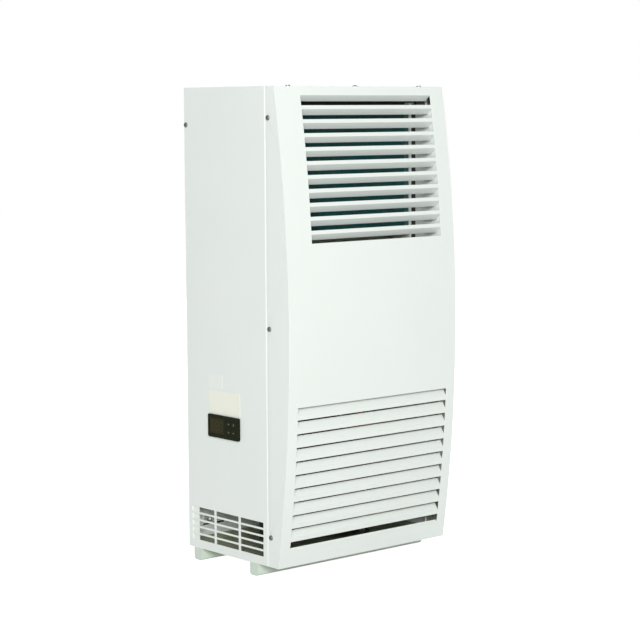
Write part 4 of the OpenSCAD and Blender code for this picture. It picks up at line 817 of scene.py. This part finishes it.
@dataclass
class Impeller(Workshop):
    """Moulded axial impeller with twisted, cambered blades on a cup shaped hub."""

    node: str = "condenser_fan_rotor"
    joint: str = "condenser_fan_spin"
    axis: Axis = Axis.ALONG_Y
    mount_y: float = 0.0
    tip_r: float = 70.0 * MM
    hub_r: float = 32.0 * MM
    blades: int = 5
    end_gap: float = 3.0 * MM
    cup_l: float = 29.0 * MM
    cup_wall: float = 2.5 * MM
    shaft_r: float = 4.0 * MM
    shaft_l: float = 33.0 * MM
    edge_r: float = 2.5 * MM
    edge_steps: int = 3
    facets: int = 64
    root_pitch: float = 40.0
    tip_pitch: float = 24.0
    root_sink: float = 0.8 * MM
    rise_margin: float = 1.2 * MM
    chord_share: float = 0.92
    sweep: float = 0.20
    blade_t: float = 2.0 * MM
    edge_share: float = 0.25
    belly_share: float = 1.5
    camber_share: float = 0.07
    span_steps: int = 10
    chord_steps: int = 12

    def build(self) -> None:
        """Builds the rotor on its joint's axis."""
        centre = joint_place(self.joint)
        place = Matrix.Translation((centre.x, self.mount_y, centre.z)) @ self.axis.turn()
        shape = bmesh.new()
        add_lathe(shape, self._cup(), place, self.facets)
        for angle in full_turn(self.blades):
            self._blade(shape, place @ Matrix.Rotation(angle, 4, "Z"))
        made = self.piece(self.node.replace("_rotor", "_impeller"), shape, FAN_BLADE, smooth_below=35.0)
        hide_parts(self.node)

    def _cup(self) -> Outline:
        """Radius and height of the hub's cup and shaft, from the middle of the cup's bottom."""
        bottom = self.end_gap
        top = bottom + self.cup_l
        floor = bottom + self.cup_wall
        shaft_end = bottom + self.shaft_l
        inner = self.hub_r - self.cup_wall
        flat_r = self.hub_r - self.edge_r
        outline = [(0.0, bottom), (flat_r, bottom)]
        for k in range(1, self.edge_steps + 1):
            turn = math.radians(90 * k / self.edge_steps)
            height = bottom + self.edge_r - self.edge_r * math.cos(turn)
            outline.append((flat_r + self.edge_r * math.sin(turn), height))
        outline += [(self.hub_r, top), (inner, top), (inner, floor)]
        outline += [(self.shaft_r, floor), (self.shaft_r, shaft_end), (0.0, shaft_end)]
        return outline

    def _blade(self, shape: Shape, place: Matrix) -> None:
        """Adds one blade as a closed skin from the hub to the tip."""
        rings = [self._section(shape, place, k / self.span_steps) for k in range(self.span_steps + 1)]
        for first, second in zip(rings, rings[1:]):
            add_band(shape, first, second)
        for ring in (rings[0], rings[-1]):
            for k in range(1, self.chord_steps + 1):
                add_face(shape, [ring[k - 1], ring[k], ring[-k], ring[1 - k]])

    def _section(self, shape: Shape, place: Matrix, share: float) -> Ring:
        """Adds the corners of one cross section of a blade.

        Args:
            shape: Mesh that receives them.
            place: Where the blade goes; the fan's axis is +Z before that.
            share: 0 at the hub and 1 at the tip.

        Returns:
            The corners, along the blade's upper face and back along its lower face.
        """
        half_rise = self.cup_l / 2 - self.rise_margin
        radius = (self.hub_r - self.root_sink) * (1 - share) + self.tip_r * share
        pitch = math.radians(self.root_pitch * (1 - share) + self.tip_pitch * share)
        room = self.chord_share * 2 * math.pi * radius / self.blades
        chord = min(2 * half_rise / math.sin(pitch), room)
        camber = self.camber_share * chord
        forth = [(k / self.chord_steps, 1) for k in range(self.chord_steps + 1)]
        back = [(u, -1) for u, _ in forth[-2:0:-1]]
        ring = []
        for u, side in forth + back:
            half_t = self.blade_t / 2 * (self.edge_share + self.belly_share * math.sqrt(u * (1 - u)))
            lift = camber * 4 * u * (1 - u) + side * half_t
            along = (u - 0.5) * chord
            across = along * math.cos(pitch) - lift * math.sin(pitch)
            rise = along * math.sin(pitch) + lift * math.cos(pitch) - camber * 0.5
            height = self.end_gap + self.cup_l / 2 + max(-half_rise, min(half_rise, rise))
            angle = across / radius + self.sweep * share * share
            point = Vector((radius * math.cos(angle), radius * math.sin(angle), height))
            ring.append(shape.verts.new(place @ point))
        return ring


@dataclass
class FanSet(Workshop):
    """Both fans: castings, stators, impellers and screws."""

    casting_edge: float = 0.4 * MM
    screw_edge: float = 0.3 * MM
    return_tip_r: float = 54.0 * MM
    return_hub_r: float = 28.0 * MM

    def build(self) -> None:
        """Dresses the castings and builds each impeller against the face that its fan is fixed to."""
        self.dress(FAN_CASTING, "condenser_fan_frame", "return_fan_frame", edge=self.casting_edge)
        self.dress(WINDING, "fan_stators")
        self.dress(ZINC_PLATE, "fan_screws", edge=self.screw_edge)
        shroud_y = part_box("fan_shroud")[1].y
        Impeller("condenser_fan", mount_y=shroud_y).build()
        back_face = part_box("return_fan_frame")[1].y
        Impeller("return_fan", "return_fan_rotor", "return_fan_spin", Axis.AGAINST_Y, back_face,
                 tip_r=self.return_tip_r, hub_r=self.return_hub_r).build()


@dataclass
class FingerGuard(Workshop):
    """Welded wire guard over the return air port."""

    wire_r: float = 1.0 * MM
    bar_r: float = 0.8 * MM
    rings: int = 4
    outer_r: float = 54.0 * MM
    screw_offset: float = 52.4 * MM
    eye_r: float = 3.5 * MM
    eye_hole_r: float = 2.0 * MM
    eye_t: float = 1.0 * MM
    ring_steps: int = 72
    eye_steps: int = 32

    def build(self) -> None:
        """Builds rings, crossed bars and their eyes on the back panel."""
        centre = joint_place("return_fan_spin")
        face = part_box("rear_panel")[1].y
        shape = bmesh.new()
        for i in range(1, self.rings + 1):
            radius = self.outer_r * i / self.rings
            turns = full_turn(self.ring_steps)
            spokes = [(radius * math.cos(a), self.wire_r, radius * math.sin(a)) for a in turns]
            add_tube(shape, self._route(centre, face, spokes), self.wire_r, True)
        reach = self.screw_offset - self.eye_r * math.sqrt(0.5)
        for slope in (1, -1):
            ends = [(s * reach, self.bar_r, s * slope * reach) for s in (-1, 1)]
            add_tube(shape, self._route(centre, face, ends), self.bar_r, False)
        hole, rim, top = self.eye_hole_r, self.eye_r, self.eye_t
        outline = [(hole, 0.0), (rim, 0.0), (rim, top), (hole, top)]
        for x in (-self.screw_offset, self.screw_offset):
            for z in (-self.screw_offset, self.screw_offset):
                place = Matrix.Translation((centre.x + x, face, centre.z + z)) @ Axis.ALONG_Y.turn()
                add_lathe(shape, outline, place, self.eye_steps)
        made = self.piece("wire_finger_guard", shape, ZINC_PLATE, smooth_below=50.0)
        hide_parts("return_fan_guard")

    @staticmethod
    def _route(centre: Vector, face: float, spots: Sequence[Point]) -> List[Vector]:
        """Points in the row frame, from places about the fan's axis on the panel's outer face."""
        return [Vector((centre.x + x, face + y, centre.z + z)) for x, y, z in spots]


class Mark(Enum):
    """Plain mark on a key, as strokes whose ends are shares of half its size."""

    UP = ((-0.8, -0.5, 0.0, 0.6), (0.0, 0.6, 0.8, -0.5))
    DOWN = ((-0.8, 0.5, 0.0, -0.6), (0.0, -0.6, 0.8, 0.5))
    PLUS = ((-0.9, 0.0, 0.9, 0.0), (0.0, -0.9, 0.0, 0.9))
    MINUS = ((-0.9, 0.0, 0.9, 0.0),)


@dataclass
class Controller(Workshop):
    """Panel thermostat on the left side: bezel, smoked window, display segments and marked keys."""

    mark_size: float = 3.0 * MM
    mark_stroke: float = 0.7 * MM
    mark_t: float = 0.04 * MM
    digits: int = 3
    digit_w: float = 7.0 * MM
    digit_h: float = 13.0 * MM
    digit_gap: float = 3.2 * MM
    stroke: float = 1.25 * MM
    lean: float = 0.10
    joint_share: float = 1.3
    bezel_edge: float = 0.7 * MM
    window_edge: float = 0.25 * MM
    clip_edge: float = 0.4 * MM
    key_edge: float = 0.35 * MM

    def build(self) -> None:
        """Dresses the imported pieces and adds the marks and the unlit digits."""
        self.dress(BEZEL, "controller_bezel", edge=self.bezel_edge)
        self.dress(WINDOW, "controller_window", edge=self.window_edge)
        self.dress(BLACK_PLASTIC, "controller_body")
        self.dress(CLIP, "controller_clips", edge=self.clip_edge)
        marks = {"key_rear_top": Mark.UP, "key_rear_bottom": Mark.DOWN, "key_front_top": Mark.PLUS,
                 "key_front_bottom": Mark.MINUS}
        for node, mark in marks.items():
            self.dress(KEY, node, edge=self.key_edge)
            self._mark(node, mark)
        self._digits()

    def _outlines(self, mark: Mark) -> List[Outline]:
        """Outline of each stroke with its round ends, in metres, upright and centred."""
        half, r = self.mark_size / 2, self.mark_stroke / 2
        outlines = []
        for x0, y0, x1, y1 in mark.value:
            facing = math.atan2(y1 - y0, x1 - x0)
            turns = [facing + math.radians(90 + 30 * k) for k in range(7)]
            outline = [(x0 * half + r * math.cos(a), y0 * half + r * math.sin(a)) for a in turns]
            outline += [(x1 * half - r * math.cos(a), y1 * half - r * math.sin(a)) for a in turns]
            outlines.append(outline)
        return outlines

    @staticmethod
    def _on_left(node: str) -> Matrix:
        """Takes a flat outline to the middle of a node's left face: its X runs to the front there."""
        low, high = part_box(node)
        turn = Matrix(((0, 0, -1, 0), (-1, 0, 0, 0), (0, 1, 0, 0), (0, 0, 0, 1)))
        return Matrix.Translation((low.x, (low.y + high.y) / 2, (low.z + high.z) / 2)) @ turn

    def _mark(self, node: str, mark: Mark) -> None:
        """Prints a mark on a key."""
        shape = bmesh.new()
        for outline in self._outlines(mark):
            add_prism(shape, outline, self.mark_t, self._on_left(node))
        Workshop(node).piece(node + "_mark", shape, KEY_MARK)

    def _bar(self, length: float) -> Outline:
        """Outline of one segment of a digit: a level bar with pointed ends."""
        end, half = length / 2, self.stroke / 2
        return [(-end, 0), (-end + half, half), (end - half, half), (end, 0),
                (end - half, -half), (-end + half, -half)]

    def _digits(self) -> None:
        """Lays three unlit seven segment digits on the window."""
        shape = bmesh.new()
        w, h = self.digit_w, self.digit_h
        gap = self.stroke * self.joint_share
        upright = [(-w / 2, h / 4), (w / 2, h / 4), (-w / 2, -h / 4), (w / 2, -h / 4)]
        level = [(0.0, h / 2), (0.0, 0.0), (0.0, -h / 2)]
        segments = [[(x - py, y + px) for px, py in self._bar(h / 2 - gap)] for x, y in upright]
        segments += [[(x + px, y + py) for px, py in self._bar(w - gap)] for x, y in level]
        for d in range(self.digits):
            shift = (d - (self.digits - 1) / 2) * (w + self.digit_gap)
            for segment in segments:
                leaning = [(x + self.lean * y + shift, y) for x, y in segment]
                add_prism(shape, leaning, self.mark_t, self._on_left("controller_window"))
        self.piece("display_segments", shape, SEGMENTS)


@dataclass
class Trim(Workshop):
    """Labels, gasket, rivet nuts and cable bush."""

    small_label_h: float = 20.0 * MM
    label_margin: float = 1.0 * MM
    soft_edge: float = 0.6 * MM
    nut_edge: float = 0.25 * MM

    def build(self) -> None:
        """Dresses them; the part of the labels' node near its top is the small label."""
        self.dress(LABEL, "side_labels")
        labels = frame["nodes"]["side_labels"].data
        labels.materials.append(SMALL_LABEL.material())
        small_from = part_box("side_labels")[1].z - self.small_label_h - self.label_margin
        for polygon in labels.polygons:
            polygon.material_index = int(polygon.center.z > small_from)
        self.dress(FOAM, "rear_gasket", edge=self.soft_edge)
        self.dress(ZINC_PLATE, "rivet_nuts", edge=self.nut_edge)
        self.dress(RUBBER, "cable_bush", edge=self.soft_edge)


@dataclass
class Refrigeration(Workshop):
    """Compressor, pipes, coils, drain and electrical pieces; only the fins are built anew."""

    wide_edge: float = 0.8 * MM
    fine_edge: float = 0.4 * MM
    evaporator_pitch: float = 2.4 * MM

    def build(self) -> None:
        """Dresses them and builds both fin stacks."""
        self.dress(COPPER, "condenser_tubes", "evaporator_tubes", "discharge_pipe", "liquid_pipe",
                   "filter_drier", "capillary_pipe", "suction_pipe")
        self.dress(ENAMEL, "compressor_shell", "accumulator")
        self.dress(WINDING, "compressor_stator")
        self.dress(MACHINED, "compressor_pump", "compressor_crank")
        self.dress(RUBBER, "compressor_mounts", edge=self.wide_edge)
        self.dress(BLACK_PLASTIC, "terminal_cover", edge=self.wide_edge)
        self.dress(PAN_PLASTIC, "drain_pan")
        self.dress(DRAIN_HOSE, "drain_pipe", edge=self.fine_edge)
        self.dress(FOAM, "insulation_foam")
        self.dress(CAPACITOR_CAN, "run_capacitor", edge=self.wide_edge)
        self.dress(BLACK_PLASTIC, "terminal_block", edge=self.fine_edge)
        FinStack().build()
        FinStack("housing", "evaporator_fins", BARE_FINS, self.evaporator_pitch).build()


# The picture


@dataclass
class Studio:
    """Camera, soft lamps, pale floor and backdrop."""

    camera_at: Point = (-2.0125, -2.31248, 0.7123)
    looks_along: Point = (0.6523, 0.7503, -0.1076)
    roll: float = -0.0052
    lens: float = 108.52
    sensor: float = 36.0
    far_clip: float = 60.0
    surround: float = 0.25
    softbox_size: Tuple[float, float] = (2.4, 1.5)
    softbox_target: Point = (0.0, 0.0, 0.35)
    front_at: Point = (-2.65, -3.2, 1.65)
    front_power: float = 181.0
    back_at: Point = (2.4, 3.0, 2.3)
    back_power: float = 105.0
    floor_half: float = 9.0
    floor_drop: float = 0.4 * MM
    floor_colour: Colour = (0.55, 0.55, 0.55)
    floor_roughness: float = 0.9
    floor_glow: float = 0.05
    floor_glow_seen: float = 0.85

    def build(self) -> None:
        """Sets up everything round the object."""
        self._camera()
        self._world()
        self._floor()
        self._softbox("camera_softbox", self.front_at, self.front_power)
        self._softbox("back_softbox", self.back_at, self.back_power)
        bpy.context.scene.view_settings.view_transform = "Standard"

    def _camera(self) -> None:
        """Adds the camera with the photograph's view."""
        forward = Vector(self.looks_along).normalized()
        right = forward.cross(Vector((0, 0, 1))).normalized()
        up = right.cross(forward)
        turned_right = math.cos(self.roll) * right + math.sin(self.roll) * up
        turned_up = math.cos(self.roll) * up - math.sin(self.roll) * right
        data = bpy.data.cameras.new("photo_camera")
        data.lens = self.lens
        data.sensor_width = self.sensor
        data.clip_end = self.far_clip
        camera = bpy.data.objects.new("photo_camera", data)
        turn = Matrix((turned_right, turned_up, -forward)).transposed().to_4x4()
        camera.matrix_world = Matrix.Translation(self.camera_at) @ turn
        bpy.context.scene.collection.objects.link(camera)
        bpy.context.scene.camera = camera

    def _seen(self, nodes: Nodes) -> Wire:
        """1 for rays from the camera, mirrored in gloss or passing through glass, else 0."""
        kinds = ("Is Camera Ray", "Is Glossy Ray", "Is Transmission Ray")
        camera, gloss, glass = (nodes.add("ShaderNodeLightPath", output=kind) for kind in kinds)
        return (camera + gloss + glass).limited()

    def _world(self) -> None:
        """Even surround light that the camera and the gloss see as white."""
        world = bpy.data.worlds.new("pale_room")
        world.use_nodes = True
        nodes = Nodes(world.node_tree)
        background = world.node_tree.nodes["Background"]
        background.inputs["Color"].default_value = WHITE
        strength = self._seen(nodes) * (1.0 - self.surround) + self.surround
        world.node_tree.links.new(strength.socket, background.inputs["Strength"])
        bpy.context.scene.world = world

    def _floor(self) -> None:
        """Pale floor that keeps the shadow."""
        shape = bmesh.new()
        half = self.floor_half
        outline = [(-half, -half), (half, -half), (half, half), (-half, half)]
        shape.faces.new([shape.verts.new((x, y, -self.floor_drop)) for x, y in outline])
        floor = make_object("pale_floor", shape)
        material = bpy.data.materials.new("pale_floor")
        material.use_nodes = True
        tree = material.node_tree
        shader = tree.nodes["Principled BSDF"]
        shader.inputs["Base Color"].default_value = (*self.floor_colour, 1.0)
        shader.inputs["Roughness"].default_value = self.floor_roughness
        shader.inputs["Specular IOR Level"].default_value = 0.0
        shader.inputs["Emission Color"].default_value = WHITE
        glow = self._seen(Nodes(tree)) * self.floor_glow_seen + self.floor_glow
        tree.links.new(glow.socket, shader.inputs["Emission Strength"])
        floor.data.materials.append(material)

    def _softbox(self, name: str, at: Point, power: float) -> None:
        """Adds a rectangular lamp of so many watts that faces the object."""
        data = bpy.data.lights.new(name, "AREA")
        data.shape = "RECTANGLE"
        data.size, data.size_y = self.softbox_size
        data.energy = power
        lamp = bpy.data.objects.new(name, data)
        way = Vector(self.softbox_target) - Vector(at)
        lamp.matrix_world = Matrix.Translation(at) @ way.to_track_quat("-Z", "Y").to_matrix().to_4x4()
        bpy.context.scene.collection.objects.link(lamp)


def main() -> None:
    """Builds the sub-assemblies in order."""
    logging.basicConfig(level=logging.INFO, format="%(message)s")
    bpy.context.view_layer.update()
    datum = Datum()
    Studio().build()
    Housing().build()
    PanelScrews().build(datum)
    Refrigeration().build()
    FanSet().build()
    FingerGuard().build()
    Controller().build()
    Trim().build()


if __name__ == "__main__":
    main()
